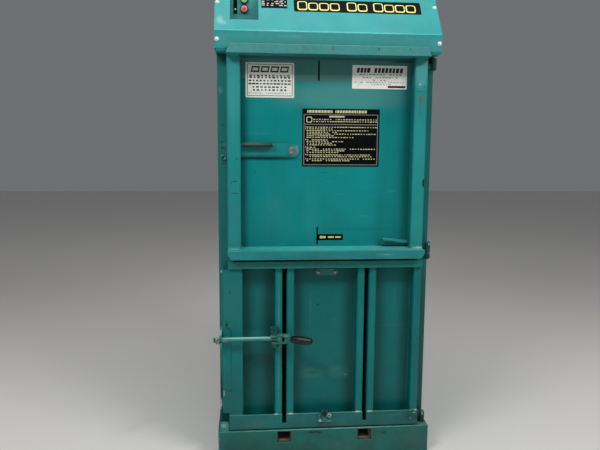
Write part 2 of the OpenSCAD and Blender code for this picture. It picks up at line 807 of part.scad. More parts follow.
module platen() {
    half = inner_w - platen_gap;
    y0 = wall_t + platen_gap;
    y1 = body_d - wall_t - platen_gap;
    deck_z = park_z0 + sole_h + deck_t;
    rib_t = 8;
    color("slategray") difference() {
        box([-half, y0, park_z0], [half, y1, park_z1]);
        for (side = [-1, 1])
            translate([side * groove_x, 0, 0])
                box([-groove_w / 2, y0 - 1, park_z0 - 1], [groove_w / 2, y1 + 1, park_z0 + sole_h]);
        // Open top between the ribs.
        for (x = [-1, 0, 1], y = [0, 1])
            translate([x * (half * 2 / 3), 0, 0])
                box([-half / 3 + rib_t, y0 + rib_t + y * (y1 - y0) / 2, deck_z],
                    [half / 3 - rib_t, y0 - rib_t + (y + 1) * (y1 - y0) / 2, park_z1 + 1]);
        bar_z(0, ram_y, 60, deck_z, park_z1 + 1);
        for (side = [0, 1]) mirror([side, 0, 0])
            box([half - shoe_w, rail_y0 - shoe_w, deck_z], [half + 1, rail_y0 + rail_bar_w + shoe_w, park_z1 + 1]);
        bar_z(0, ram_y, ram_rod_r + 0.02, rod_foot_z, park_z1 + 1);
    }
    // Socket of the piston rod.
    color("slategray") difference() {
        bar_z(0, ram_y, ram_rod_r + 22, deck_z, park_z1 - 12);
        bar_z(0, ram_y, ram_rod_r + 0.02, rod_foot_z, park_z1 + 1);
        bar_x(ram_y, rod_pin_z, 8.02, -60, 60);
    }
}

rod_pin_z = park_z1 - 34;
module rod_pin() {
    color("silver") bar_x(ram_y, rod_pin_z, 8, -ram_rod_r - 30, ram_rod_r + 30);
}

// Slide blocks of the platen, each with a slot over its guide rail.
module guide_shoes() {
    half = inner_w - platen_gap;
    z0 = park_z0 + sole_h + deck_t;
    color("ivory") for (side = [0, 1]) mirror([side, 0, 0]) difference() {
        box([half - shoe_w, rail_y0 - shoe_w, z0], [inner_w - 2, rail_y0 + rail_bar_w + shoe_w, park_z1]);
        box([inner_w - rail_bar_t - 0.6, rail_y0 - 0.6, z0 - 1], [inner_w, rail_y0 + rail_bar_w + 0.6, park_z1 + 1]);
    }
}

module piston_rod() {
    color("silver") difference() {
        bar_z(0, ram_y, ram_rod_r, rod_foot_z, piston_z0);
        bar_x(ram_y, rod_pin_z, 8.02, -60, 60);
    }
}

module piston() {
    color("gray") difference() {
        bar_z(0, ram_y, bore_r - fit, piston_z0, piston_z1);
        for (z = [piston_z0 + piston_h * 0.3, piston_z0 + piston_h * 0.7])
            translate([0, ram_y, z]) rotate_extrude()
                translate([bore_r, 0]) square([6, 5], center = true);
    }
}

// POWER PACK

motor_x0 = half_w - 30 - motor_l;
motor_y = body_d * 0.72;
motor_z = lid_top + motor_r + 14;
module motor() {
    lid_l = 90;
    lid_w = 80;
    lid_rise = 42;
    color("steelblue") {
        bar_x(motor_y, motor_z, motor_r - 6, motor_x0, motor_x0 + motor_l);
        for (i = [0:15])
            translate([0, motor_y, motor_z]) rotate([i * 22.5, 0, 0])
                box([motor_x0 + 22, -2, motor_r - 12], [motor_x0 + motor_l - 40, 2, motor_r + 2]);
        bar_x(motor_y, motor_z, motor_r, motor_x0, motor_x0 + 14);
        bar_x(motor_y, motor_z, motor_r, motor_x0 + motor_l - 36, motor_x0 + motor_l);
        box([motor_x0 + 60, motor_y - lid_w / 2, motor_z + motor_r - 14],
            [motor_x0 + 60 + lid_l, motor_y + lid_w / 2, motor_z + motor_r + lid_rise]);
        for (x = [motor_x0 + 40, motor_x0 + motor_l - 80])
            difference() {
                box([x, motor_y - 70, lid_top], [x + 34, motor_y + 70, motor_z]);
                bar_x(motor_y, motor_z, motor_r - 12, x - 1, x + 35);
                bar_x(motor_y, lid_top, 38, x - 1, x + 35);
            }
    }
}

coupling_l = 45;
pump_l = 90;
// Gear pump on its bell housing.
module pump() {
    x1 = motor_x0 - coupling_l;
    bell_r = 62;
    neck_r = 48;
    color("dimgray") {
        translate([motor_x0, motor_y, motor_z]) rotate([0, -90, 0]) rotate_extrude()
            polygon([[0, 0], [bell_r, 0], [bell_r, 8], [neck_r, coupling_l - 6], [neck_r, coupling_l],
                [0, coupling_l]]);
        bar_x(motor_y, motor_z, 44, x1 - 12, x1);
        box([x1 - pump_l, motor_y - 34, motor_z - 40], [x1 - 12, motor_y + 34, motor_z + 40]);
        bar_x(motor_y, motor_z, 24, x1 - pump_l - 8, x1 - pump_l);
        bar_y(x1 - pump_l / 2, motor_z, 14, motor_y - 46, motor_y - 34);
        bar_y(x1 - pump_l / 2, motor_z, 14, motor_y + 34, motor_y + 44);
    }
}

tank_x0 = -half_w + 25;
tank_y0 = body_d - 30 - tank_w;
module oil_tank() {
    color("darkslategray") difference() {
        union() {
            box([tank_x0, tank_y0, lid_top], [tank_x0 + tank_l, tank_y0 + tank_w, lid_top + tank_h]);
            box([tank_x0 - 8, tank_y0 - 8, lid_top + tank_h],
                [tank_x0 + tank_l + 8, tank_y0 + tank_w + 8, lid_top + tank_h + 5]);
            bar_z(tank_x0 + 60, tank_y0 + 70, 26, lid_top + tank_h, lid_top + tank_h + 24);
        }
        box([tank_x0 + 3, tank_y0 + 3, lid_top + 3],
            [tank_x0 + tank_l - 3, tank_y0 + tank_w - 3, lid_top + tank_h - 3]);
    }
}

// Valve block in front of the cylinder, with its two coils on top.
valve_x0 = 70;
valve_y0 = 90;
valve_d = 90;
valve_z1 = lid_top + valve_h;
module valve_block() {
    color("silver") {
        box([valve_x0, valve_y0, lid_top], [valve_x0 + valve_w, valve_y0 + valve_d, valve_z1]);
        box([valve_x0 + 40, valve_y0 + 20, valve_z1],
            [valve_x0 + valve_w - 40, valve_y0 + valve_d - 20, valve_z1 + 46]);
        for (x = [valve_x0 - 6, valve_x0 + valve_w - 40])
            bar_x(valve_y0 + valve_d / 2, valve_z1 + 23, 20, x, x + 46);
    }
}

// Ports, and the routes of the lines between them.
boss_h = 8;
pipe_r = 8;
pipe_x = -barrel_r - 42;
low_port_z = body_top + gland_h + 14;
top_port_z = barrel_z1 - 14;
turn_r = 28;
pump_port_x = motor_x0 - coupling_l - pump_l / 2;
valve_back = valve_y0 + valve_d;

// Line of straights and quarter turns through square corners.
module line_run(points, r) {
    last = len(points) - 1;
    for (i = [0:last - 1]) {
        u = unit(points[i + 1] - points[i]);
        a = points[i] + u * (i == 0 ? 0 : turn_r);
        b = points[i + 1] - u * (i == last - 1 ? 0 : turn_r);
        aim(a, u) cylinder(r = r, h = norm(b - a));
    }
    for (i = [1:last - 1]) {
        u = unit(points[i] - points[i - 1]);
        v = unit(points[i + 1] - points[i]);
        w = cross(u, v);
        c = points[i] - u * turn_r + v * turn_r;
        multmatrix([[-v[0], u[0], w[0], c[0]], [-v[1], u[1], w[1], c[1]], [-v[2], u[2], w[2], c[2]]])
            rotate_extrude(angle = 90) translate([turn_r, 0]) circle(r = r);
    }
}

// Turns a child's Z to a direction along an axis.
module aim(at, u) {
    translate(at)
        if (u[0] != 0) rotate([0, 90 * u[0], 0]) children();
        else if (u[1] != 0) rotate([-90 * u[1], 0, 0]) children();
        else rotate([u[2] < 0 ? 180 : 0, 0, 0]) children();
}

// Crimped fitting at the end of a hose.
module ferrule(at, u) {
    aim(at, u) {
        cylinder(d = 22 / cos(30), h = 8, $fn = 6);
        cylinder(r = hose_r + 3, h = 30);
    }
}

module hoses() {
    color("black") {
        // Suction hose from the tank to the back of the pump.
        suction = [[pump_port_x, motor_y + 44, motor_z], [pump_port_x, motor_y + 100, motor_z],
            [tank_x0 + tank_l, motor_y + 100, motor_z]];
        line_run(suction, hose_r);
        ferrule(suction[0], [0, 1, 0]);
        ferrule(suction[2], [1, 0, 0]);
        // Pressure hose from the front of the pump to the valve block.
        pressure = [[pump_port_x, motor_y - 46, motor_z], [pump_port_x, valve_back, motor_z]];
        aim(pressure[0], [0, -1, 0]) cylinder(r = hose_r, h = pressure[0][1] - pressure[1][1]);
        ferrule(pressure[0], [0, -1, 0]);
        ferrule(pressure[1], [0, 1, 0]);
        // Hose from the valve block to the barrel's lower port.
        lower = [[valve_x0 + 60, valve_back, low_port_z], [valve_x0 + 60, ram_y, low_port_z],
            [barrel_r + boss_h, ram_y, low_port_z]];
        line_run(lower, hose_r);
        ferrule(lower[0], [0, 1, 0]);
        ferrule(lower[2], [1, 0, 0]);
        // Return hose from the valve block to the tank.
        back = [[valve_x0, valve_y0 + 70, valve_z1 - 26], [tank_x0 + tank_l - 40, valve_y0 + 70, valve_z1 - 26],
            [tank_x0 + tank_l - 40, tank_y0, valve_z1 - 26]];
        line_run(back, hose_r);
        ferrule(back[0], [-1, 0, 0]);
        ferrule(back[2], [0, -1, 0]);
    }
    // Steel pipe from the valve block to the barrel's upper port.
    color("silver") line_run([[valve_x0, valve_y0 + 30, low_port_z], [pipe_x, valve_y0 + 30, low_port_z],
        [pipe_x, ram_y, low_port_z], [pipe_x, ram_y, top_port_z], [-barrel_r - boss_h, ram_y, top_port_z]], pipe_r);
}

// UPPER DOOR

module upper_stiles() {
    t2 = sheet_t / 2;
    z0 = upper_z0 + ledge_h;
    x0 = door_x - stile_w;
    color("lightseagreen") difference() {
        for (side = [0, 1]) mirror([side, 0, 0])
            folded([[door_x - t2, back_y], [door_x - t2, face_y + t2], [x0 + t2, face_y + t2], [x0 + t2, back_y]],
                z0, strip_z0);
        // Slot for the latch bar.
        box([-x0 - sheet_t - 1, bar_y0 - 1, latch_zc - latch_h / 2 - 4], [-x0 + 1, recess_y, latch_slot_z1]);
    }
}
latch_slot_z1 = latch_zc + latch_h / 2 + (door_x - latch_x) * sin(latch_lift) + 6;

module upper_panel() {
    half = door_x - stile_w;
    color("darkcyan") difference() {
        box([-half, recess_y, upper_z0 + ledge_h], [half, recess_y + sheet_t, strip_z0]);
        box([-sight_x - sight_w / 2, recess_y - 1, strip_z0 - 12 - sight_top_h],
            [-sight_x + sight_w / 2, recess_y + sheet_t + 1, strip_z0 - 12]);
        box([-sight_x - sight_w / 2, recess_y - 1, upper_z0 + ledge_h + 13],
            [-sight_x + sight_w / 2, recess_y + sheet_t + 1, upper_z0 + ledge_h + 13 + sight_low_h]);
        bar_y(-latch_x, latch_zc, latch_bolt_r + 0.02, recess_y - 1, recess_y + sheet_t + 1);
    }
}

// Box rail with cut-back ends, and the sloped ledge in the recess.
module upper_bottom_rail() {
    z1 = upper_z0 + ledge_h;
    half = door_x - stile_w;
    wall = 4;
    color("lightseagreen") {
        difference() {
            translate([0, back_y, 0]) rotate([90, 0, 0]) linear_extrude(back_y - proud_y)
                polygon([[-door_x, z1], [-door_x, upper_z0 + ledge_h * 0.6], [-door_x + ledge_cut, upper_z0],
                    [door_x - ledge_cut, upper_z0], [door_x, upper_z0 + ledge_h * 0.6], [door_x, z1]]);
            box([-door_x + ledge_cut + wall, proud_y + wall, upper_z0 + wall],
                [door_x - ledge_cut - wall, back_y - wall, z1 - wall]);
        }
        along_x([[face_y, z1 - 1], [face_y, z1], [recess_y, z1 + ledge_rise], [recess_y, z1 - 1]], -half, half);
    }
}

module upper_top_strip() {
    z1 = strip_z0 + strip_h;
    color("lightseagreen") difference() {
        intersection() {
            along_x([[proud_y, strip_z0], [proud_y, z1], [proud_y + strip_t, z1], [proud_y + strip_t, upper_z1],
                [back_y, upper_z1], [back_y, strip_z0]], -door_x, door_x);
            translate([0, back_y, 0]) rotate([90, 0, 0]) linear_extrude(back_y - proud_y)
                polygon([[-door_x, strip_z0], [door_x, strip_z0], [door_x - strip_cut, z1],
                    [-door_x + strip_cut, z1]]);
        }
        for (x = strip_hole_xs)
            bar_y(x, strip_z0 + strip_h * 0.7, 2.5, proud_y - 1, proud_y + strip_t + 1);
    }
}

module upper_knuckles() {
    color("darkcyan") for (z = [mid_body_z + knuckle_rise, top_door_z]) door_knuckle(z, z);
}

// Bent flat bar low on the panel, beside the hinge stile.
module rest_bar() {
    x1 = door_x - stile_w;
    z = upper_z0 + ledge_h + 20;
    color("lightseagreen") translate([x1, recess_y, z]) rotate([0, 4, 0]) {
        box([-112, -7, -14], [-1, 0, 12]);
        box([-112, -30, 4], [-60, -7, 12]);
        box([-60, -24, 0], [-1, -7, 8]);
    }
}

module latch_pivot_bolt() {
    color("silver") {
        bar_y(-latch_x, latch_zc, latch_bolt_r, bar_y0 - clear - 1, recess_y + sheet_t + 8);
        translate([-latch_x, bar_y0 - clear, latch_zc]) rotate([90, 0, 0]) {
            cylinder(r = latch_bolt_r + 7, h = 3);
            translate([0, 0, 3]) cylinder(d = 24 / cos(30), h = 8, $fn = 6);
        }
        hex_y(-latch_x, latch_zc, 24, recess_y + sheet_t, recess_y + sheet_t + 8);
    }
}

// DOOR LATCH

module latch_bar() {
    color("lightseagreen") translate([0, bar_y1, latch_zc]) rotate([90, 0, 0]) linear_extrude(latch_t) difference() {
        union() {
            translate([latch_tip, -latch_h / 2]) square([-latch_x - latch_tip, latch_h]);
            translate([-latch_x, 0]) circle(d = latch_h);
        }
        translate([-latch_x, 0]) circle(r = latch_bolt_r + fit);
    }
}

module latch_grip() {
    x0 = -door_x + stile_w + 6;
    z = latch_zc + latch_h / 2 - latch_grip_d / 2 + 4;
    y = bar_y0 - 6 - latch_grip_d / 2;
    color("dimgray") {
        bar_x(y, z, latch_grip_d / 2, x0, x0 + latch_grip_l);
        for (x = [x0 + 14, x0 + latch_grip_l - 14])
            bar_y(x, z - 4, 5, y, bar_y0);
    }
}

// LOWER DOOR

t_half = sheet_t / 2;
fold_y0 = face_y + t_half;
fold_y1 = recess_y + t_half;
lower_cap_z = lower_z1 - strip_t;
lip_in = groove_x - slot_w / 2;
lip_out_x = groove_x + slot_w / 2;

pad_t = 2.5;
post_drop = 5;
module lower_post() {
    x1 = post_x + post_w;
    color("lightseagreen") {
        difference() {
            folded([[post_x + t_half, back_y], [post_x + t_half, fold_y0], [x1 - t_half, fold_y0],
                [x1 - t_half, back_y]], lower_z0 + post_lift, lower_cap_z);
            // The part beside the strip stops just below it.
            box([post_x - 1, face_y - 1, lower_z1 - lower_strip_h - post_drop], [-door_x, 0, lower_z1]);
        }
        // Foot of the post, behind the bottom rail.
        folded([[-door_x + t_half, back_y], [-door_x + t_half, fold_y0], [x1 - t_half, fold_y0],
            [x1 - t_half, back_y]], lower_z0 + strip_t, lower_z0 + post_lift);
        box([post_x, face_y - pad_t, rod_zc + pad_top - pad_h], [post_x + pad_w, face_y, rod_zc + pad_top]);
    }
}

module left_trough() {
    x0 = post_x + post_w;
    xa = -lip_out_x - lip_w + t_half;
    xb = -lip_out_x - t_half;
    color("lightseagreen") folded([[x0, fold_y1], [xa, fold_y1], [xa, fold_y0], [xb, fold_y0], [xb, back_y]],
        lower_z0 + strip_t, lower_cap_z);
}

module middle_trough() {
    xa = lip_in - t_half;
    xb = lip_in - lip_w + t_half;
    color("lightseagreen") folded([[-xa, back_y], [-xa, fold_y0], [-xb, fold_y0], [-xb, fold_y1],
        [xb, fold_y1], [xb, fold_y0], [xa, fold_y0], [xa, back_y]], lower_z0 + strip_t, lower_cap_z);
}

module right_trough() {
    xa = lip_out_x + t_half;
    xb = lip_out_x + lip_w - t_half;
    xc = door_x - hinge_stile_w + t_half;
    xd = door_x - t_half;
    color("lightseagreen") folded([[xa, back_y], [xa, fold_y0], [xb, fold_y0], [xb, fold_y1],
        [xc, fold_y1], [xc, fold_y0], [xd, fold_y0], [xd, back_y]], lower_z0 + strip_t, lower_cap_z);
}

module lower_top_strip() {
    y0 = face_y - lower_strip_out;
    color("lightseagreen")
        along_x([[y0, lower_z1 - lower_strip_h], [y0, lower_z1], [back_y, lower_z1], [back_y, lower_cap_z],
            [y0 + strip_t, lower_cap_z], [y0 + strip_t, lower_z1 - lower_strip_h]], -door_x, door_x);
}

// Angle under the troughs, notched where the strap slots run down into it.
module lower_bottom_rail() {
    y0 = face_y - rail_t;
    color("lightseagreen") difference() {
        along_x([[y0, lower_z0], [y0, lower_z0 + rail_h], [face_y, lower_z0 + rail_h],
            [face_y, lower_z0 + strip_t], [back_y, lower_z0 + strip_t], [back_y, lower_z0]], -door_x, door_x);
        for (side = [-1, 1])
            translate([side * groove_x, 0, 0])
                box([-slot_w / 2, y0 - 1, lower_z0 + slot_sill], [slot_w / 2, face_y + 1, lower_z0 + rail_h + 1]);
    }
}

module lower_knuckles() {
    low_z = low_body_z + knuckle_rise;
    color("darkcyan") {
        door_knuckle(low_z, low_z);
        door_knuckle(mid_low_z, lower_z1 - 24);
    }
}

// Bracket on the first lip, with two ears that hold the lever.
module lever_bracket() {
    ear_r = pivot_r + 5;
    ear_top = ear_z + cheek_t;
    plate_t = 6;
    plate_w = 33;
    plate_h = 90;
    color("lightseagreen") difference() {
        union() {
            box([-lever_x - ear_r, face_y - plate_t, rod_zc - plate_h / 2],
                [-lever_x - ear_r + plate_w, face_y, rod_zc + plate_h / 2]);
            for (side = [-1, 1])
                translate([-lever_x, 0, rod_zc + side * (ear_z + cheek_t / 2)]) {
                    translate([-ear_r, pivot_y, -cheek_t / 2]) cube([2 * ear_r, face_y - plate_t - pivot_y, cheek_t]);
                    translate([0, pivot_y, -cheek_t / 2]) cylinder(r = ear_r, h = cheek_t);
                }
        }
        bar_z(-lever_x, pivot_y, pivot_r + 0.02, rod_zc - ear_top - 1, rod_zc + ear_top + 1);
    }
}

// Two short pins, so that the rod can pass between them.
module pivot_pins() {
    color("silver") for (side = [0, 1]) translate([-lever_x, pivot_y, rod_zc]) mirror([0, 0, side]) {
        translate([0, 0, cheek_z]) cylinder(r = pivot_r, h = ear_z + cheek_t - cheek_z);
        translate([0, 0, ear_z + cheek_t]) cylinder(d = 19 / cos(30), h = 6, $fn = 6);
    }
}

// Small plate with two dome bolts at the top of the middle recess.
module two_bolt_plate() {
    z = lower_z1 - 57;
    x0 = -42;
    w = 100;
    half_h = 14;
    t = 5;
    color("slategray") {
        translate([0, recess_y, z]) rotate([90, 0, 0]) linear_extrude(t) hull()
            for (x = [x0 + half_h, x0 + w - half_h]) translate([x, 0]) circle(half_h);
        for (x = [x0 + half_h, x0 + w - half_h])
            translate([x, recess_y - t, z]) rotate([90, 0, 0]) dome(8, 6);
    }
}

// Hooked plate on the bottom rail.
module hook_bracket() {
    y = face_y - rail_t;
    z = lower_z0 + rail_h;
    t = 5;
    hook_x = -12;
    hook_w = 20;
    color("slategray") difference() {
        union() {
            box([hook_x - 18, y - t, z - 38], [hook_x + hook_w + 23, y, z + 3]);
            box([hook_x, y - t - 7, z - 28], [hook_x + hook_w, y - t, z + 14]);
            box([hook_x, y - t - 17, z - 28], [hook_x + hook_w, y - t - 7, z - 20]);
        }
        bar_y(hook_x + hook_w + 12, z - 12, 5, y - 20, y + 1);
    }
}

// TIE ROD LATCH

arm_x = pin_x + eye_r + 8;
neck_l = 16;
stem_r = 7;
module lever_cheek() {
    difference() {
        union() {
            translate([-lever_x, pivot_y]) circle(r = 15);
            translate([-lever_x, rod_y - 14]) square([arm_x + 6 + lever_x, 28 - toggle_y]);
        }
        translate([-lever_x, pivot_y]) circle(r = pivot_r + fit);
    }
}

// Place and lean of the lever's arm.
module on_arm() {
    translate([arm_x + 14, rod_y, rod_zc]) rotate([0, 0, -arm_lean]) rotate([0, 90, 0]) children();
}

module lever() {
    color("darkcyan") {
        for (side = [0, 1]) translate([0, 0, rod_zc]) mirror([0, 0, side])
            translate([0, 0, cheek_z]) linear_extrude(cheek_t) lever_cheek();
        box([arm_x, rod_y - 10, rod_zc - cheek_z - cheek_t], [arm_x + 22, rod_y + 10, rod_zc + cheek_z + cheek_t]);
        on_arm() cylinder(r = 8, h = neck_l);
        on_arm() cylinder(r = stem_r, h = neck_l + grip_l - 14);
        // Pin that carries the tie rod's eye.
        bar_z(pin_x, rod_y, rod_pin_r, rod_zc - cheek_z - cheek_t, rod_zc + cheek_z + cheek_t);
    }
}

module lever_grip() {
    big = grip_d / 2;
    color("black") on_arm() translate([0, 0, neck_l]) difference() {
        rotate_extrude() polygon(concat([[0, 0], [big * 0.7, 0]],
            [for (i = [0:10]) [big * (0.78 + 0.22 * sin(i * 18)), 3 + (grip_l - 12) * i / 10]],
            [[big * 0.6, grip_l - 3], [0, grip_l]]));
        translate([0, 0, -1]) cylinder(r = stem_r + 0.02, h = grip_l - 12);
    }
}

module tie_rod() {
    x0 = fork_x - nut_gap - nut_w - thread_end;
    eye_t = rod_d - 2;
    color("mediumaquamarine") difference() {
        union() {
            bar_x(rod_y, rod_zc, rod_r, x0, pin_x - 6);
            bar_z(pin_x, rod_y, eye_r, rod_zc - eye_t / 2, rod_zc + eye_t / 2);
        }
        bar_z(pin_x, rod_y, rod_pin_r + fit, rod_zc - rod_r - 1, rod_zc + rod_r + 1);
    }
}

module rod_nut() {
    x1 = fork_x - nut_gap;
    color("silver") difference() {
        union() {
            hex_x(rod_y, rod_zc, 30, x1 - nut_w, x1 - 3);
            bar_x(rod_y, rod_zc, 18, x1 - 3, x1);
        }
        bar_x(rod_y, rod_zc, rod_r + 0.02, x1 - nut_w - 1, x1 + 1);
    }
}

base_frame();
strap_channels();
floor_plate();
left_side_wall();
right_side_wall();
back_wall();
back_strap_guides();
top_plate();
lintel();
guide_rails();
latch_keeper();
keeper_bolt();
hinge_leaves();
hinge_pins();
hood();
rear_cover();
hood_bolts();
control_pan();
button_bezels();
electric_box();
cylinder_barrel();
cylinder_gland();
flange_bolts();
cable_gland();
motor();
pump();
oil_tank();
valve_block();
hoses();
platen();
guide_shoes();
piston_rod();
piston();
rod_pin();
upper_stiles();
upper_panel();
upper_bottom_rail();
upper_top_strip();
upper_knuckles();
rest_bar();
latch_pivot_bolt();
latch_bar();
latch_grip();
lower_post();
left_trough();
middle_trough();
right_trough();
lower_top_strip();
lower_bottom_rail();
lower_knuckles();
lever_bracket();
pivot_pins();
two_bolt_plate();
hook_bracket();
lever();
lever_grip();
tie_rod();
rod_nut();
start_button();
stop_button();
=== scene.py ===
import math

import bmesh
import bpy
from mathutils import Matrix, Vector


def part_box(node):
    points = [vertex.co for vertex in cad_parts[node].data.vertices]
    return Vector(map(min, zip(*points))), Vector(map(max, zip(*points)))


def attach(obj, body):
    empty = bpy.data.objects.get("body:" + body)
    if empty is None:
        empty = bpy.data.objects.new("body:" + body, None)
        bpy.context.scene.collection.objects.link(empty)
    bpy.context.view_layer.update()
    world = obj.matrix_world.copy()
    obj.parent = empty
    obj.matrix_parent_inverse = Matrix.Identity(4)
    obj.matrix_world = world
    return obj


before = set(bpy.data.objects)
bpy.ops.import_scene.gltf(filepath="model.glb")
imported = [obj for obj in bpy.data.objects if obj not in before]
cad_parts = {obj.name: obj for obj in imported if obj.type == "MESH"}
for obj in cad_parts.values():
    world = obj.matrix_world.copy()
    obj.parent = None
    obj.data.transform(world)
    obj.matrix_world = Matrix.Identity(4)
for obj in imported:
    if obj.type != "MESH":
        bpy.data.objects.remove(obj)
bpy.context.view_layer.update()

# Camera: a standing photographer about 2.5 m in front of the doors, left of the middle,
# who looks slightly down and to the right. It is level but for half a degree.
CAMERA_PLACE = (-0.3303, -2.521, 1.338)
PITCH, YAW, ROLL = (math.radians(a) for a in (-7.581, -5.079, -0.396))


def placed(name, data):
    """A new object in the scene."""
    made = bpy.data.objects.new(name, data)
    bpy.context.scene.collection.objects.link(made)
    return made


camera = placed("camera", bpy.data.cameras.new("camera"))
camera.data.lens = 36.0
camera.data.sensor_width = 36.0
turn = Matrix.Rotation(YAW, 3, "Z") @ Matrix.Rotation(PITCH, 3, "X") @ Matrix.Rotation(ROLL, 3, "Y")
right, forward, up = turn.col[0], turn.col[1], turn.col[2]
look = Matrix((right, up, -forward)).transposed().to_4x4()
camera.matrix_world = Matrix.Translation(CAMERA_PLACE) @ look
bpy.context.scene.camera = camera

# Studio: a plain pale floor under two rows of light, as a workshop ceiling has, to the left and
# right in front of the doors, with a ceiling panel straight above.
bpy.context.scene.view_settings.view_transform = "Standard"
FLOOR_SIZE = 30.0
floor_mesh = bpy.data.meshes.new("studio_floor")
half = FLOOR_SIZE / 2
corners = [(-half, -half, 0), (half, -half, 0), (half, half, 0), (-half, half, 0)]
floor_mesh.from_pydata(corners, [], [(0, 1, 2, 3)])
studio_floor = placed("studio_floor", floor_mesh)
floor_paint = bpy.data.materials.new("studio_floor")
floor_paint.use_nodes = True
floor_look = floor_paint.node_tree.nodes["Principled BSDF"].inputs
floor_look["Base Color"].default_value = (0.8, 0.775, 0.735, 1)
floor_look["Roughness"].default_value = 0.8
floor_mesh.materials.append(floor_paint)

world = bpy.data.worlds.new("studio")
bpy.context.scene.world = world
world.use_nodes = True
sky = world.node_tree.nodes["Background"].inputs
sky["Color"].default_value = (0.92, 0.95, 1.0, 1)
sky["Strength"].default_value = 0.17

for name, place, aim, width, height, power in [
    ("right_row", (2.1, -2.05, 3.62), (0.0, 0.0, 1.35), 1.6, 0.22, 62.0),
    ("left_row", (-1.95, -2.05, 3.62), (0.0, 0.0, 1.35), 1.4, 0.22, 52.0),
    ("ceiling_panel", (-0.1, -0.5, 4.6), (0.0, -0.2, 0.0), 3.0, 2.0, 60.0),
]:
    lamp = bpy.data.lights.new(name, "AREA")
    lamp.shape = "RECTANGLE"
    lamp.size, lamp.size_y = width, height
    lamp.energy = power
    lamp_object = placed(name, lamp)
    lamp_object.location = place
    lamp_object.rotation_euler = (Vector(aim) - Vector(place)).to_track_quat("-Z", "Y").to_euler()

# Base frame: folded 6 mm plate, welded at the corners and sprayed with the same teal enamel
# as the machine. It stands on concrete, so it is the dirtiest and most knocked piece.


def linear(colour):
    """A colour in 0 to 255 as the eye sees it, as the shader's own values."""
    return tuple(((c / 255 + 0.055) / 1.055) ** 2.4 if c > 10 else c / 255 / 12.92 for c in colour) + (1.0,)


def feed(tree, node, feeds):
    """Gives a node's inputs, by name or number, a constant or the output of another node."""
    for key, value in feeds.items():
        if isinstance(value, bpy.types.NodeSocket):
            tree.links.new(value, node.inputs[key])
        elif value is not None:
            node.inputs[key].default_value = value


def step(tree, kind, feeds=None, **settings):
    """One new node of a tree, with its settings and what feeds it."""
    made = tree.nodes.new(kind)
    for key, value in settings.items():
        setattr(made, key, value)
    feed(tree, made, feeds or {})
    return made


class Finish:
    """A material that is put together node by node."""

    def __init__(self, name):
        self.material = bpy.data.materials.new(name)
        self.material.use_nodes = True
        self.tree = self.material.node_tree
        self.place = self.node("TexCoord").outputs["Object"]

    def node(self, kind, feeds=None, **settings):
        return step(self.tree, "ShaderNode" + kind, feeds, **settings)

    def noise(self, scale, detail=3.0, rough=0.55, stretch=(1, 1, 1), seed=0.0):
        """Noise from 0 to 1; stretch squeezes it along an axis."""
        mapped = self.node("Mapping", {"Vector": self.place, "Location": (seed, seed * 0.7, seed * 1.3),
                                       "Scale": stretch}).outputs["Vector"]
        return self.node("TexNoise", {"Vector": mapped, "Scale": scale, "Detail": detail,
                                      "Roughness": rough}).outputs["Fac"]

    def maths(self, operation, a, b=0.0, clamp=False):
        return self.node("Math", {0: a, 1: b}, operation=operation, use_clamp=clamp).outputs[0]

    def times(self, *factors):
        value = factors[0]
        for factor in factors[1:]:
            value = self.maths("MULTIPLY", value, factor, clamp=True)
        return value

    def ramp(self, value, low, high, out_low=0.0, out_high=1.0):
        """Smooth step of a value between two limits."""
        return self.node("MapRange", {"Value": value, "From Min": low, "From Max": high, "To Min": out_low,
                                      "To Max": out_high}, interpolation_type="SMOOTHSTEP").outputs["Result"]

    def cloud(self, low, high, *scale, **form):
        """Patches where the noise passes from low to high."""
        return self.ramp(self.noise(*scale, **form), low, high)

    def blend(self, share, below, above):
        return self.node("Mix", {"Factor": share, 6: below, 7: above}, data_type="RGBA").outputs[2]

    def lay(self, tone, colour, *shares):
        """A colour over a tone, as strong as the product of the shares."""
        return self.blend(self.times(*shares), tone, linear(colour))

    def axis(self, index):
        return self.node("SeparateXYZ", {0: self.place}).outputs[index]

    def normal(self):
        return self.node("NewGeometry").outputs["Normal"]

    def upward(self):
        """Mask of the faces that look up, where dust settles."""
        return self.ramp(self.node("SeparateXYZ", {0: self.normal()}).outputs[2], 0.45, 0.95)

    def spot(self, centre, radii, soft):
        """Mask of an ellipsoid in the machine's own frame, from 1 inside to 0 outside."""
        away = self.node("VectorMath", {0: self.place, 1: centre}, operation="SUBTRACT").outputs[0]
        away = self.node("VectorMath", {0: away, 1: radii}, operation="DIVIDE").outputs[0]
        length = self.node("VectorMath", {0: away}, operation="LENGTH").outputs["Value"]
        return self.ramp(length, 1.0 + soft, 1.0 - soft)

    def stain(self, tone, patches, *share):
        """Lays patches over a tone, stains and painted light or shade alike, each as
        (centre, radii, softness, colour, strength).
        """
        for centre, radii, soft, colour, strength in patches:
            tone = self.lay(tone, colour, self.spot(centre, radii, soft), strength, *share)
        return tone

    def edges(self, radius, samples=4):
        """Rounded normal, and a mask of the sharp edges."""
        rounded = self.node("Bevel", {"Radius": radius}, samples=samples).outputs["Normal"]
        match = self.node("VectorMath", {0: rounded, 1: self.normal()}, operation="DOT_PRODUCT")
        return rounded, self.ramp(match.outputs["Value"], 0.985, 0.86)

    def bump(self, height, strength, distance, normal=None):
        return self.node("Bump", {"Height": height, "Strength": strength, "Distance": distance,
                                  "Normal": normal}).outputs["Normal"]

    def close(self, colour, rough, normal=None, metal=None, shine=0.5):
        feed(self.tree, self.tree.nodes["Principled BSDF"], {
            "Base Color": colour, "Roughness": rough, "Specular IOR Level": shine, "Normal": normal,
            "Metallic": metal})
        return self.material


def lighter(colour, gain, lift=0.0):
    """A shader's colour made brighter, or darker with a gain below 1."""
    return tuple(min(1, c * gain + lift) for c in colour[:3]) + (1,)


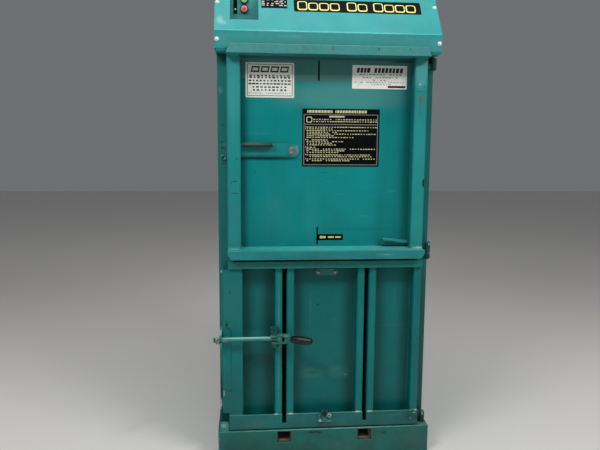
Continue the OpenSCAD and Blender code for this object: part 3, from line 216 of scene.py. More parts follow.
DARK_SCUFF = (14, 52, 50)
PALE_SCUFF = (142, 190, 182)
GREASE = (22, 30, 28)


def enamel(name, colour, dirt=0.3, chips=0.5, gloss=0.38, low=0.0, high=0.35, dust=0.25, shine=0.4,
           bare=None, marks=(), shades=()):
    """Sprayed enamel on folded steel: clouds and runs in the colour, dirt that is thickest below low and
    ends at high, dust on what faces up, chips along the edges, and a painted highlight on every sharp edge.
    Marks are broken patches of wear and dirt, and some painted highlights; shades are smooth patches,
    mostly painted shade and painted light, with a few smooth stains.
    bare is (axis, start, end): past start towards end the metal shows, as on an unpainted bolt."""
    f = Finish(name)
    base = linear(colour)
    clouds = f.cloud(0.32, 0.7, 1.9, 4.0, 0.6, seed=3.1)
    tone = f.blend(clouds, lighter(base, 0.74), lighter(base, 1.2, 0.004))
    tone = f.blend(0.55, tone, base)
    runs = f.cloud(0.52, 0.8, 8.0, 4.0, 0.62, stretch=(1, 1, 0.07), seed=1.7)
    tone = f.lay(tone, (4, 66, 66), runs, 0.22)
    wipes = f.cloud(0.56, 0.74, 3.4, 5.0, 0.7, stretch=(1, 1, 0.5), seed=8.3)
    tone = f.lay(tone, (110, 176, 168), wipes, 0.06)
    hairs = f.cloud(0.66, 0.72, 26.0, 3.0, 0.6, stretch=(0.35, 0.35, 7.0), seed=12.0)
    rubbed_zone = f.cloud(0.48, 0.62, 2.6, 2.0, seed=14.0)
    tone = f.lay(tone, PALE_SCUFF, hairs, rubbed_zone, 0.13)
    rise = f.ramp(f.axis(2), high, low)
    mottle = f.cloud(0.34, 0.66, 6.5, 6.0, 0.68, seed=5.0)
    grime = f.times(mottle, f.maths("ADD", f.times(rise, dirt), dirt * 0.2))
    tone = f.lay(tone, (40, 62, 56), grime)
    splash = f.cloud(0.6, 0.68, 95.0, 3.0, 0.6, seed=15.0)
    tone = f.lay(tone, (26, 40, 38), splash, rise, dirt)
    tone = f.lay(tone, (132, 164, 154), f.upward(), dust, mottle)
    tone = f.stain(tone, shades)
    broken = f.cloud(0.3, 0.62, 55.0, 5.0, 0.7, seed=4.4)
    patchy = f.maths("ADD", f.times(broken, 0.55), 0.45)
    tone = f.stain(tone, marks, patchy)
    rounded, edge = f.edges(0.0022)
    bite = f.cloud(0.5, 0.66, 26.0, 6.0, 0.72, seed=2.2)
    worn_edge = f.times(edge, bite, chips)
    flaked = f.cloud(0.4, 0.56, 80.0, 3.0, seed=4.0)
    rubbed = f.blend(flaked, linear((50, 50, 44)), linear((150, 172, 164)))
    tone = f.blend(worn_edge, tone, rubbed)
    # Painted highlight: every sharp edge is lightened.
    tone = f.blend(f.times(edge, 0.5), tone, lighter(base, 1.5, 0.02))
    fleck = f.cloud(0.735, 0.765, 47.0, 2.0, 0.5, seed=9.4)
    flecked_zone = f.cloud(0.5, 0.62, 4.0, 2.0, seed=6.6)
    tone = f.lay(tone, (24, 40, 38), fleck, flecked_zone, chips)
    rough = f.ramp(f.noise(9.0, 5.0, 0.65, seed=7.0), 0.3, 0.75, gloss - 0.06, gloss + 0.14)
    rough = f.maths("ADD", rough, f.times(grime, 0.25), clamp=True)
    waves = f.noise(5.0, 2.0, 0.4, seed=2.9)
    normal = f.bump(waves, 0.1, 0.004, f.bump(f.noise(420.0, 2.0, 0.5), 0.05, 0.0006, rounded))
    metal = None
    if bare:
        index, start, end = bare
        metal = f.ramp(f.axis(index), start, end)
        bright = f.blend(f.times(broken, 0.35), linear((188, 194, 186)), linear((92, 96, 88)))
        tone = f.blend(metal, tone, bright)
        metal = f.times(metal, 0.75)
    return f.close(tone, rough, normal, metal, shine)


def facing(y, patches, deep=10):
    """Marks or shades on a face that looks to the front at y. Each is (x, z, half its width, half its
    height, softness, colour, strength), with lengths in millimetres, as deep is, half the depth."""
    return [((x / 1000, y, z / 1000), (wide / 1000, deep / 1000, high / 1000), soft, colour, strength)
            for x, z, wide, high, soft, colour, strength in patches]


def dress(material, *nodes):
    """Gives CAD nodes one material."""
    for node in nodes:
        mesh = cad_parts[node].data
        mesh.materials.clear()
        mesh.materials.append(material)


BASE_FACE = -0.078
base_paint = enamel("base_enamel", (18, 114, 106), dirt=0.5, chips=0.9, gloss=0.46, high=0.2, shine=0.3, marks=[
    *facing(BASE_FACE, [
        (-47, 106, 30, 5, 0.6, GREASE, 0.9), (-20, 103, 10, 4, 0.6, GREASE, 0.8),
        (262, 94, 12, 6, 0.6, DARK_SCUFF, 0.6), (400, 60, 60, 45, 0.7, (74, 92, 84), 0.35),
        (130, 40, 120, 30, 0.7, (70, 88, 80), 0.3),
    ]),
    *facing(-0.072, [(-434, 146, 10, 8, 0.5, (150, 200, 190), 0.7)], 6),
    # Painted highlight: a pale line along the top edge of the base's front.
    *facing(BASE_FACE, [(0, 119.2, 460, 1.5, 0.4, (140, 200, 190), 0.7)], 6),
    *facing(BASE_FACE, [(-457, 60, 2.5, 70, 0.4, (160, 196, 186), 0.7)]),
], shades=[
    *facing(-0.07, [(-431, 140, 22, 22, 0.2, (78, 146, 134), 0.6)]),
])
dress(base_paint, "base_frame")

# Weld beads of the base: it is stitched to the side walls, and the rest lug is welded to its top.
# A bead is a rippled round run, laid by hand, so its width wanders a little.


def branch(name, sockets):
    """A geometry tree with named inputs; returns the tree, its inputs and its end."""
    tree = bpy.data.node_groups.new(name, "GeometryNodeTree")
    tree.interface.new_socket(name="Geometry", in_out="INPUT", socket_type="NodeSocketGeometry")
    for socket, kind in sockets.items():
        tree.interface.new_socket(name=socket, in_out="INPUT", socket_type="NodeSocket" + kind)
    tree.interface.new_socket(name="Geometry", in_out="OUTPUT", socket_type="NodeSocketGeometry")
    return tree, tree.nodes.new("NodeGroupInput").outputs, tree.nodes.new("NodeGroupOutput")


def first(tree, kind, feeds=None, **settings):
    """The first output of a new node."""
    return step(tree, kind, feeds, **settings).outputs[0]


def shape(tree, kind, feeds=None, **settings):
    return first(tree, "GeometryNode" + kind, feeds, **settings)


def maths(tree, operation, *values):
    return first(tree, "ShaderNodeMath", dict(enumerate(values)), operation=operation)


def end_branch(tree, end, made, material):
    """Sends what was made to the tree's end as real meshes of one material."""
    real = first(tree, "GeometryNodeRealizeInstances", {"Geometry": made})
    coated = first(tree, "GeometryNodeSetMaterial", {"Geometry": real, "Material": material})
    tree.links.new(coated, end.inputs[0])


def grow(name, points, tree, settings, body, place=None):
    """Runs a tree over the lines between each two points, and keeps the result as a mesh on a body."""
    mesh = bpy.data.meshes.new(name)
    mesh.from_pydata(points, [(i, i + 1) for i in range(0, len(points), 2)], [])
    piece = placed(name, mesh)
    modifier = piece.modifiers.new("shape", "NODES")
    modifier.node_group = tree
    for socket in tree.interface.items_tree:
        if socket.in_out == "INPUT" and socket.name in settings:
            modifier[socket.identifier] = settings[socket.name]
    seen = piece.evaluated_get(bpy.context.evaluated_depsgraph_get())
    solid = bpy.data.meshes.new_from_object(seen)
    piece.modifiers.clear()
    piece.data = solid
    if place is not None:
        solid.transform(place)
    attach(piece, body)


bead_tree, bead, bead_end = branch("weld_bead", {
    "Bead Radius": "Float", "Ripple": "Float", "Wander": "Float", "Metal": "Material"})
line = shape(bead_tree, "MeshToCurve", {"Mesh": bead["Geometry"]})
third = maths(bead_tree, "MULTIPLY", bead["Ripple"], 0.34)
fine_line = shape(bead_tree, "ResampleCurve", {"Curve": line, "Length": third}, mode="LENGTH")
along = step(bead_tree, "GeometryNodeSplineParameter").outputs["Length"]
turns = maths(bead_tree, "DIVIDE", along, bead["Ripple"])
phase = maths(bead_tree, "MULTIPLY", turns, math.tau)
wave = maths(bead_tree, "SINE", phase)
ripple = maths(bead_tree, "MULTIPLY_ADD", wave, 0.13, 1.0)
grain = first(bead_tree, "ShaderNodeTexNoise", {"Scale": 110.0, "Detail": 2.0})
spread = maths(bead_tree, "SUBTRACT", grain, 0.5)
uneven = maths(bead_tree, "MULTIPLY_ADD", spread, bead["Wander"], ripple)
girth = maths(bead_tree, "MULTIPLY", uneven, bead["Bead Radius"])
ring = shape(bead_tree, "CurvePrimitiveCircle", {"Resolution": 7, "Radius": 1.0})
rope = shape(bead_tree, "CurveToMesh", {
    "Curve": fine_line, "Profile Curve": ring, "Scale": girth, "Fill Caps": True})
smooth = shape(bead_tree, "SetShadeSmooth", {"Geometry": rope})
end_branch(bead_tree, bead_end, smooth, bead["Metal"])


def weld(name, runs, radius, material, body, ripple=0.0042, wander=0.5):
    """Weld beads along straight runs, each a pair of points."""
    points = [point for run in runs for point in run]
    grow(name, points, bead_tree, {"Bead Radius": radius, "Ripple": ripple, "Wander": wander,
                                   "Metal": material}, body)


def stitches(start, end, length, pitch):
    """Short runs spaced evenly along a line."""
    start, end = Vector(start), Vector(end)
    span = (end - start).length
    aim = (end - start) / span
    count = int(span // pitch) + 1
    spare = (span - (count - 1) * pitch - length) / 2
    return [(tuple(start + aim * (spare + i * pitch)), tuple(start + aim * (spare + i * pitch + length)))
            for i in range(count)]


BASE_TOP = 0.12
BODY_SIDE = 0.4505
rest_left, rest_right, rest_front, rest_back = -0.448, -0.413, -0.071, -0.059
runs = [run for x in (-BODY_SIDE, BODY_SIDE)
        for run in stitches((x, 0.03, BASE_TOP), (x, 0.67, BASE_TOP), 0.045, 0.15)]
runs += [((rest_left, rest_front, BASE_TOP), (rest_right, rest_front, BASE_TOP)),
         ((rest_right, rest_front, BASE_TOP), (rest_right, rest_back, BASE_TOP))]
weld("base_welds", runs, 0.0028, base_paint, "machine")

# Strap channels: plain folded channel inside the base, never painted, brown with rust. Card dust lies
# inside, and the mouth is a darker brown.


def rust(name, colour, spots, mouth):
    """Rusty sheet; mouth is the colour of its first centimetre, near the front of the base."""
    f = Finish(name)
    tone = f.blend(f.cloud(0.3, 0.7, 9.0, 6.0, 0.7), linear(colour), linear(spots))
    tone = f.blend(f.ramp(f.axis(1), -0.058, -0.072), tone, linear(mouth))
    tone = f.lay(tone, (38, 30, 26), f.cloud(0.4, 0.65, 120.0, 4.0, 0.7), 0.5)
    tone = f.lay(tone, (112, 100, 86), f.upward(), 0.5)
    return f.close(tone, 0.86, f.bump(f.noise(150.0, 5.0, 0.7), 0.25, 0.001), shine=0.2)


dress(rust("channel_rust", (190, 164, 150), (176, 142, 122), (88, 68, 62)), "strap_channels")

# Body: folded side walls, the back wall with its strap guides, the lintel and the plate under
# the power pack, welded together and sprayed in one coat. The left edge is chipped by bins and bales,
# and inside the waste has rubbed the walls down to the steel.
RUBBED = (112, 116, 106)
body_paint = enamel("body_enamel", (26, 138, 134), chips=0.7, high=0.6, shine=0.35, marks=[
    *facing(0.0, [
        (-440, 804, 4, 6, 0.4, (206, 216, 208), 1.0), (-446, 216, 3.5, 22, 0.4, (196, 206, 198), 1.0),
        (-433, 1349, 10, 2, 0.5, DARK_SCUFF, 0.8), (-429, 1417, 6, 5, 0.5, DARK_SCUFF, 0.6),
        (-436, 1560, 7, 12, 0.6, PALE_SCUFF, 0.35), (-428, 640, 6, 50, 0.7, (22, 84, 78), 0.45),
        (-430, 960, 12, 60, 0.8, (26, 92, 86), 0.35),
    ]),
    *facing(-0.08, [(-437, 534, 12, 16, 0.5, (150, 160, 150), 0.55)], 50),
    *facing(-0.09, [(-437, 564, 14, 6, 0.5, (168, 216, 202), 0.8)], 50),
    *facing(0.34, [
        (-442.5, 660, 4, 460, 0.5, RUBBED, 0.75), (442.5, 660, 4, 460, 0.5, RUBBED, 0.75),
    ], 260),
    *facing(0.6925, [(0, 700, 360, 460, 0.5, RUBBED, 0.7)], 4),
], shades=[
    # Painted shade on the front flanges of the side walls: down their length, low beside the door post, under
    # the hood's lip and along the hinge side.
    *facing(0.0, [
        (-434, 1200, 30, 450, 0.4, (18, 104, 100), 0.4), (434, 1350, 30, 500, 0.3, (14, 84, 82), 0.65),
    ], 6),
    *facing(0.0, [
        (-434, 220, 30, 140, 0.4, (8, 52, 54), 0.7), (-434, 1694, 30, 35, 0.5, (6, 44, 46), 0.65),
        (434, 1690, 30, 45, 0.5, (6, 44, 46), 0.75), (434, 450, 30, 420, 0.4, (8, 56, 54), 0.7),
    ]),
])
dress(body_paint, "left_side_wall", "right_side_wall", "back_wall", "back_strap_guides", "top_plate", "lintel")
back_face = 0.7
seams = [(x, 0.14, 1.68) for x in (-0.205, -0.145, 0.145, 0.205)] + [(x, 0.13, 1.7) for x in (-0.445, 0.445)]
runs = [run for x, z0, z1 in seams for run in stitches((x, back_face, z0), (x, back_face, z1), 0.04, 0.26)]
weld("back_welds", runs, 0.0026, body_paint, "machine")
fork_face, fork_low, fork_high = -0.0008, 0.504, 0.564
runs = [((x, fork_face, fork_low), (x, fork_face, fork_high)) for x in (-0.4462, -0.4378)]
weld("fork_welds", runs, 0.0024, body_paint, "machine")

# Hinges: a leaf and a knuckle at three heights, cut from plate, welded on and painted over.
# Their pins have lost most of their paint to grease and fingers.
hinge_paint = enamel("hinge_enamel", (12, 66, 64), dirt=0.5, chips=1.0, gloss=0.5, low=0.2, high=1.9, shine=0.3,
                     marks=[
    *facing(-0.03, [
        (452, 186, 6, 4, 0.5, (200, 210, 200), 0.9), (452, 1660, 4, 4, 0.5, (150, 180, 172), 0.6),
    ], 20),
    *facing(-0.04, [(440, 160, 4, 5, 0.5, (190, 200, 190), 0.8)], 20),
    *facing(-0.035, [
        (450, 936, 10, 4, 0.5, (206, 210, 188), 0.9), (455, 905, 3, 8, 0.5, (160, 184, 172), 0.7),
    ], 30),
    *facing(-0.04, [
        (444, 922, 4, 4, 0.5, (190, 204, 190), 0.8), (449, 884, 5, 3, 0.5, (170, 186, 176), 0.7),
    ], 30),
])
dress(hinge_paint, "hinge_leaves")
leaf_left, leaf_right, leaf_face = 0.418, 0.446, -0.0062
runs = [((leaf_left, leaf_face, z), (leaf_right, leaf_face, z)) for z in (0.142, 0.8817, 0.904, 1.674)]
weld("leaf_welds", runs, 0.0018, hinge_paint, "machine")


def steel(name, colour, rough=0.45, stain=0.4, metal=0.9, grain=None, smear=None):
    """Bare steel gone dull; grain stretches the brush marks, smear is the colour of old dirt."""
    f = Finish(name)
    base = linear(colour)
    dark = lighter(base, 0.5)
    cloud = f.cloud(0.35, 0.72, 14.0, 5.0, 0.65)
    tone = f.blend(f.times(cloud, stain), base, dark)
    lines = f.noise(90.0, 3.0, 0.6, stretch=grain or (1, 1, 1), seed=1.1)
    tone = f.blend(f.times(f.ramp(lines, 0.4, 0.7), 0.25), tone, dark)
    if smear:
        tone = f.lay(tone, smear, f.cloud(0.42, 0.6, 38.0, 5.0, 0.7, seed=6.0), 0.7)
    rounded, edge = f.edges(0.0009, 3)
    tone = f.blend(f.times(edge, 0.5), tone, lighter(base, 1.5))
    normal = f.bump(lines, 0.12, 0.0004, rounded)
    return f.close(tone, f.ramp(cloud, 0.0, 1.0, rough - 0.07, rough + 0.2), normal, metal)


dress(steel("pin_steel", (96, 128, 120), 0.5, 0.5, 0.5, smear=(24, 84, 78)), "hinge_pins")

# Latch keeper: a bent plate with a notch for the latch bar, held by one socket screw and two short welds.
# Paint has gone where the bar drops in.
keeper_paint = enamel("keeper_enamel", (44, 120, 114), chips=1.0, gloss=0.44, low=1.2, high=1.3, shine=0.35,
                      marks=[
    *facing(-0.024, [(-398, 1300, 6, 30, 0.5, (120, 132, 124), 0.7)], 16),
    *facing(-0.003, [(-430, 1325, 8, 6, 0.6, GREASE, 0.6)]),
])
dress(keeper_paint, "latch_keeper")
runs = [((-0.436, -0.001, z), (-0.408, -0.001, z)) for z in (1.3402, 1.2623)]
weld("keeper_welds", runs, 0.002, keeper_paint, "machine")
zinc = steel("zinc_plate", (186, 188, 182), 0.36, 0.25)
dress(enamel("screw_enamel", (40, 124, 116), chips=1.0, gloss=0.4, low=1.2, high=1.3, marks=[
    *facing(-0.011, [(-428, 1286.5, 6.2, 6.2, 0.25, (10, 26, 26), 0.9)], 12),
    *facing(-0.011, [
        (-433, 1294.5, 6, 3, 0.6, (170, 200, 190), 0.8), (-420, 1281, 3, 6, 0.6, (150, 190, 180), 0.7),
    ], 6),
]), "keeper_bolt")

# Chamber: a bare floor plate, the ram's side rails and the platen, all polished and scratched by the waste.
dress(steel("chamber_steel", (122, 120, 114), 0.5, 0.6, 0.85, grain=(0.1, 1, 0.1), smear=(88, 76, 64)),
      "floor_plate", "guide_rails", "platen")

# Hood: 2 mm sheet folded over the power pack, in a lighter batch of the enamel. Hands have rubbed
# the fold beside the controls pale.
hood_paint = enamel("hood_enamel", (16, 148, 148), dirt=0.1, gloss=0.36, low=1.7, high=1.8, dust=0.2, shine=0.3,
                    marks=[
    # Painted highlight along the fold between the lip and the slope.
    *facing(-0.091, [(0, 1781.5, 460, 3.5, 0.6, (120, 214, 214), 0.5)], 6),
    *facing(-0.07, [
        (-434, 1826, 13, 16, 0.5, (150, 200, 196), 0.5), (-421, 1812, 12, 8, 0.5, (150, 200, 196), 0.4),
    ], 40),
    *facing(-0.091, [(-150, 1762, 50, 6, 0.8, (150, 200, 194), 0.2)]),
    # A painted grey sheen over the whole lip.
    *facing(-0.091, [(0, 1744, 600, 36, 0.15, (120, 148, 146), 0.25)], 6),
    *facing(-0.091, [(300, 1726, 90, 6, 0.8, (24, 92, 92), 0.3)]),
])
dress(hood_paint, "hood", "rear_cover")

# Cover screws: small hexagon heads with a pressed flange, in a ring round the rear cover.
screw_tree, screw, screw_end = branch("cover_screws", {
    "Head Radius": "Float", "Head Height": "Float", "Spacing": "Float", "Metal": "Material"})
loop = shape(screw_tree, "MeshToCurve", {"Mesh": screw["Geometry"]})
dots = shape(screw_tree, "ResampleCurve", {"Curve": loop, "Length": screw["Spacing"]}, mode="LENGTH")
flange_radius = maths(screw_tree, "MULTIPLY", screw["Head Radius"], 1.35)
flange = shape(screw_tree, "MeshCylinder", {"Vertices": 16, "Radius": flange_radius, "Depth": 0.0012})
hexagon = shape(screw_tree, "MeshCone", {
    "Vertices": 6, "Radius Top": screw["Head Radius"], "Radius Bottom": screw["Head Radius"],
    "Depth": screw["Head Height"]})
head = step(screw_tree, "GeometryNodeJoinGeometry")
screw_tree.links.new(flange, head.inputs[0])
screw_tree.links.new(hexagon, head.inputs[0])
LAID = math.radians(-90)
twist = first(screw_tree, "FunctionNodeRandomValue", {
    0: (LAID, 0.0, 0.0), 1: (LAID, math.radians(60), 0.0), "Seed": 5}, data_type="FLOAT_VECTOR")
heads = shape(screw_tree, "InstanceOnPoints", {
    "Points": dots, "Instance": head.outputs[0], "Rotation": twist})
end_branch(screw_tree, screw_end, heads, screw["Metal"])
cover_low, cover_high = (Vector(corner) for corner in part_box("rear_cover"))
inset = 0.01
x0, x1, z0, z1 = cover_low.x + inset, cover_high.x - inset, cover_low.z + inset, cover_high.z - inset
outer = cover_high.y + 0.0006
rim = [(x0, z0), (x1, z0), (x1, z1), (x0, z1), (x0, z0)]
points = [(x, outer, z) for side in zip(rim, rim[1:]) for x, z in side]
grow("cover_screws", points, screw_tree,
     {"Head Radius": 0.0046, "Head Height": 0.0052, "Spacing": 0.128, "Metal": zinc}, "machine")

# Control pan: a small welded pan let into the fascia, painted inside, where it stays dark.
# A strip of black film with a pale dot is stuck beside the buttons.
dress(enamel("pan_enamel", (64, 150, 146), chips=0.2, low=1.7, high=2.0), "control_pan")


def film(name, colour, rough=0.4, fade=0.2, grime=0.25, shine=0.4):
    """Printed film or lacquered plate: faded in clouds, with fine scratches and dirt in clouds."""
    f = Finish(name)
    base = linear(colour)
    faded = lighter(base, 1.3, 0.01)
    tone = f.blend(f.times(f.cloud(0.35, 0.7, 12.0, 4.0, 0.6), fade), base, faded)
    tone = f.lay(tone, (74, 84, 76), f.cloud(0.5, 0.7, 34.0, 6.0, 0.7, seed=3.0), grime)
    hairs = f.cloud(0.68, 0.74, 60.0, 2.0, stretch=(0.3, 0.3, 6.0), seed=5.0)
    tone = f.blend(f.times(hairs, 0.3), tone, faded)
    return f.close(tone, f.ramp(f.noise(25.0, 3.0), 0.3, 0.7, rough - 0.05, rough + 0.12),
                   f.bump(f.noise(9.0, 2.0), 0.08, 0.002), shine=shine)


def round_corners(x0, y0, x1, y1, radius, steps=4):
    """Outline of a rectangle with round corners, counterclockwise."""
    outline = []
    for cx, cy, start in ((x1 - radius, y1 - radius, 0), (x0 + radius, y1 - radius, 90),
                          (x0 + radius, y0 + radius, 180), (x1 - radius, y0 + radius, 270)):
        for i in range(steps + 1):
            angle = math.radians(start + 90 * i / steps)
            outline.append((cx + radius * math.cos(angle), cy + radius * math.sin(angle)))
    return outline


def rectangle(x0, y0, x1, y1):
    return [(x1, y1), (x0, y1), (x0, y0), (x1, y0)]


def sheets(name, shapes, thick, place, material, body, lift=0.0):
    """Flat shapes of one thickness. Each is an outline, or a pair of outlines for a ring."""
    mesh = bpy.data.meshes.new(name)
    bm = bmesh.new()
    for drawn in shapes:
        outlines = drawn if isinstance(drawn[0][0], tuple) else [drawn]
        walls = [[[bm.verts.new((x, y, z)) for x, y in outline] for z in (lift, lift + thick)]
                 for outline in outlines]
        if len(walls) == 2:
            walls += [(walls[0][1], walls[1][1]), (walls[1][0], walls[0][0])]
        else:
            bm.faces.new(walls[0][1])
            bm.faces.new(walls[0][0][::-1])
        for low, high in walls:
            for i in range(len(low)):
                bm.faces.new((low[i - 1], low[i], high[i], high[i - 1]))
    bmesh.ops.recalc_face_normals(bm, faces=bm.faces)
    bm.to_mesh(mesh)
    bm.free()
    mesh.transform(place)
    mesh.materials.append(material)
    piece = placed(name, mesh)
    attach(piece, body)


def upright(y):
    """Puts a flat drawing on an upright face that looks to the front at this depth."""
    return Matrix.Translation((0, y, 0)) @ Matrix.Rotation(math.radians(90), 4, "X")


FILM = 0.0004
INK = 0.00015
black_film = film("black_film", (6, 9, 10), 0.5, 0.05, grime=0.04, shine=0.06)
white_print = film("white_print", (206, 208, 200), 0.5, 0.1)
pan_face = 0.0294
legend = round_corners(-0.382, 1.866, -0.366, 1.945, 0.002)
sheets("button_legend", [legend], FILM, upright(pan_face), black_film, "machine")
dot = round_corners(-0.3775, 1.8815, -0.3705, 1.8885, 0.0034)
sheets("button_legend_print", [dot], INK, upright(pan_face), white_print, "machine", FILM)

# Push buttons: moulded caps in black collars, red for stop below and green for start above.


def plastic(name, colour, rough=0.42, fleck=0.15, marks=()):
    """Moulded plastic with a fine skin; marks are as in the enamel."""
    f = Finish(name)
    base = linear(colour)
    worn = lighter(base, 1.6, 0.01)
    tone = f.blend(f.times(f.cloud(0.45, 0.7, 30.0, 5.0, 0.7), fleck), base, worn)
    tone = f.stain(tone, marks)
    rounded, edge = f.edges(0.0012, 3)
    tone = f.blend(f.times(edge, 0.35), tone, worn)
    normal = f.bump(f.noise(700.0, 2.0), 0.06, 0.0003, rounded)
    return f.close(tone, f.ramp(f.noise(18.0, 3.0), 0.3, 0.7, rough - 0.06, rough + 0.12), normal)


black_plastic = plastic("black_moulding", (24, 25, 26), 0.4)
dress(black_plastic, "button_bezels")
BUTTON_X = -0.338
red, green = 1.885, 1.922
dress(plastic("red_cap", (238, 138, 132), 0.38, marks=[
    ((BUTTON_X, 0.02, red), (0.009, 0.1, 0.009), 0.12, (226, 74, 80), 0.95),
    ((BUTTON_X, 0.02, red), (0.003, 0.1, 0.003), 0.5, (198, 44, 56), 0.8),
]), "stop_button")
dress(plastic("green_cap", (168, 214, 172), 0.38, marks=[
    ((BUTTON_X, 0.02, green), (0.009, 0.1, 0.009), 0.12, (120, 196, 136), 0.95),
    ((BUTTON_X, 0.02, green), (0.003, 0.1, 0.003), 0.5, (92, 166, 108), 0.8),
]), "start_button")
# The hood's bolts wear white plastic caps.
dress(plastic("white_cap", (222, 230, 226), 0.35, 0.1), "hood_bolts")

# Fascia plates: a long black plate with plain outlined blocks, and a small black one with
# pale rows. Both are stuck to the slope of the hood.
RIGID = 0.0008
SLOPE = math.radians(35)
crease = Vector((0, -0.091, 1.78))


def on_slope():
    """Puts a flat drawing on the slope, with its second axis running up from the fold."""
    return Matrix.Translation(crease) @ Matrix.Rotation(math.pi / 2 - SLOPE, 4, "X")


def slanted(x0, y0, x1, y1, lean):
    return [(x1 + lean, y1), (x0 + lean, y1), (x0, y0), (x1, y0)]


sheets("name_plate", [round_corners(-0.138, 0.11, 0.385, 0.176, 0.006)], RIGID, on_slope(), black_film,
       "machine")
yellow_print = film("yellow_print", (226, 218, 128), 0.45, 0.15, grime=0.1)
blocks = []
for start, count, pitch in ((-0.124, 4, 0.044), (0.078, 2, 0.044), (0.187, 4, 0.045)):
    for i in range(count):
        left, top = start + i * pitch, 0.167 if i == 0 else 0.16
        blocks.append([round_corners(left, 0.1175, left + pitch - 0.004, top, 0.01, 3),
                       round_corners(left + 0.005, 0.124, left + pitch - 0.008, top - 0.004, 0.007, 3)])
sheets("name_plate_print", blocks, INK, on_slope(), yellow_print, "machine", RIGID)
sheets("side_plate", [round_corners(-0.27, 0.125, -0.165, 0.1915, 0.002)], FILM, on_slope(), black_film,
       "machine")

# Printed rows: every plate and sticker carries lines of short bars.
# The bars differ in length and have gaps between them, so each line looks set in words.
row_tree, row, row_end = branch("printed_rows", {
    "Word Pitch": "Float", "Bar Height": "Float", "Fill": "Float", "Seed": "Int", "Ink": "Material"})
row_lines = shape(row_tree, "MeshToCurve", {"Mesh": row["Geometry"]})
words = shape(row_tree, "ResampleCurve", {"Curve": row_lines, "Length": row["Word Pitch"]}, mode="LENGTH")
bar_length = maths(row_tree, "MULTIPLY", row["Word Pitch"], 0.92)
bar_size = first(row_tree, "ShaderNodeCombineXYZ", {"X": bar_length, "Y": row["Bar Height"], "Z": INK})
bar = shape(row_tree, "MeshCube", {"Size": bar_size})
kept = step(row_tree, "FunctionNodeRandomValue", {"Probability": row["Fill"], "Seed": row["Seed"]},
            data_type="BOOLEAN").outputs[3]
lengths = first(row_tree, "FunctionNodeRandomValue", {
    0: (0.35, 0.9, 1.0), 1: (1.0, 1.1, 1.0), "Seed": row["Seed"]}, data_type="FLOAT_VECTOR")
bars = shape(row_tree, "InstanceOnPoints", {
    "Points": words, "Instance": bar, "Selection": kept, "Scale": lengths})
end_branch(row_tree, row_end, bars, row["Ink"])


def rows(name, lines, pitch, height, ink, place, body, lift, seed, fill=0.9):
    """Rows of bars, each row given as (left, right, up)."""
    points = [(x, up, lift) for left, right, up in lines for x in (left, right)]
    grow(name, points, row_tree, {"Word Pitch": pitch, "Bar Height": height, "Fill": fill, "Seed": seed,
                                  "Ink": ink}, body, place)


side_rows = [(-0.262, -0.173 - 0.012 * (i % 2), 0.182 - 0.0105 * i) for i in range(5)]
rows("side_plate_rows", side_rows, 0.016, 0.0042, white_print, on_slope(), "machine",
     FILM + INK / 2, 11)

# Power pack and cylinder under the hood: bought-in pieces in their makers' greys and blues.
dress(enamel("cabinet_grey", (150, 154, 154), dirt=0.1, chips=0.2), "electric_box", "oil_tank")
dress(enamel("motor_blue", (52, 92, 132), dirt=0.2, chips=0.4), "motor")
dress(steel("bare_casting", (96, 98, 98), 0.62, 0.5, 0.6), "cylinder_barrel", "pump", "piston")
dress(steel("milled_block", (172, 174, 176), 0.34, 0.2), "valve_block")
dress(steel("hard_chrome", (205, 207, 210), 0.12, 0.1, 1.0, grain=(1, 1, 0.02)), "piston_rod")
dress(steel("gland_bronze", (176, 138, 74), 0.35, 0.3), "cylinder_gland")
dress(plastic("hose_rubber", (26, 26, 27), 0.62), "hoses")
dress(plastic("slide_nylon", (206, 200, 182), 0.5, 0.4), "guide_shoes")
dress(zinc, "flange_bolts", "rod_pin")
dress(black_plastic, "cable_gland")

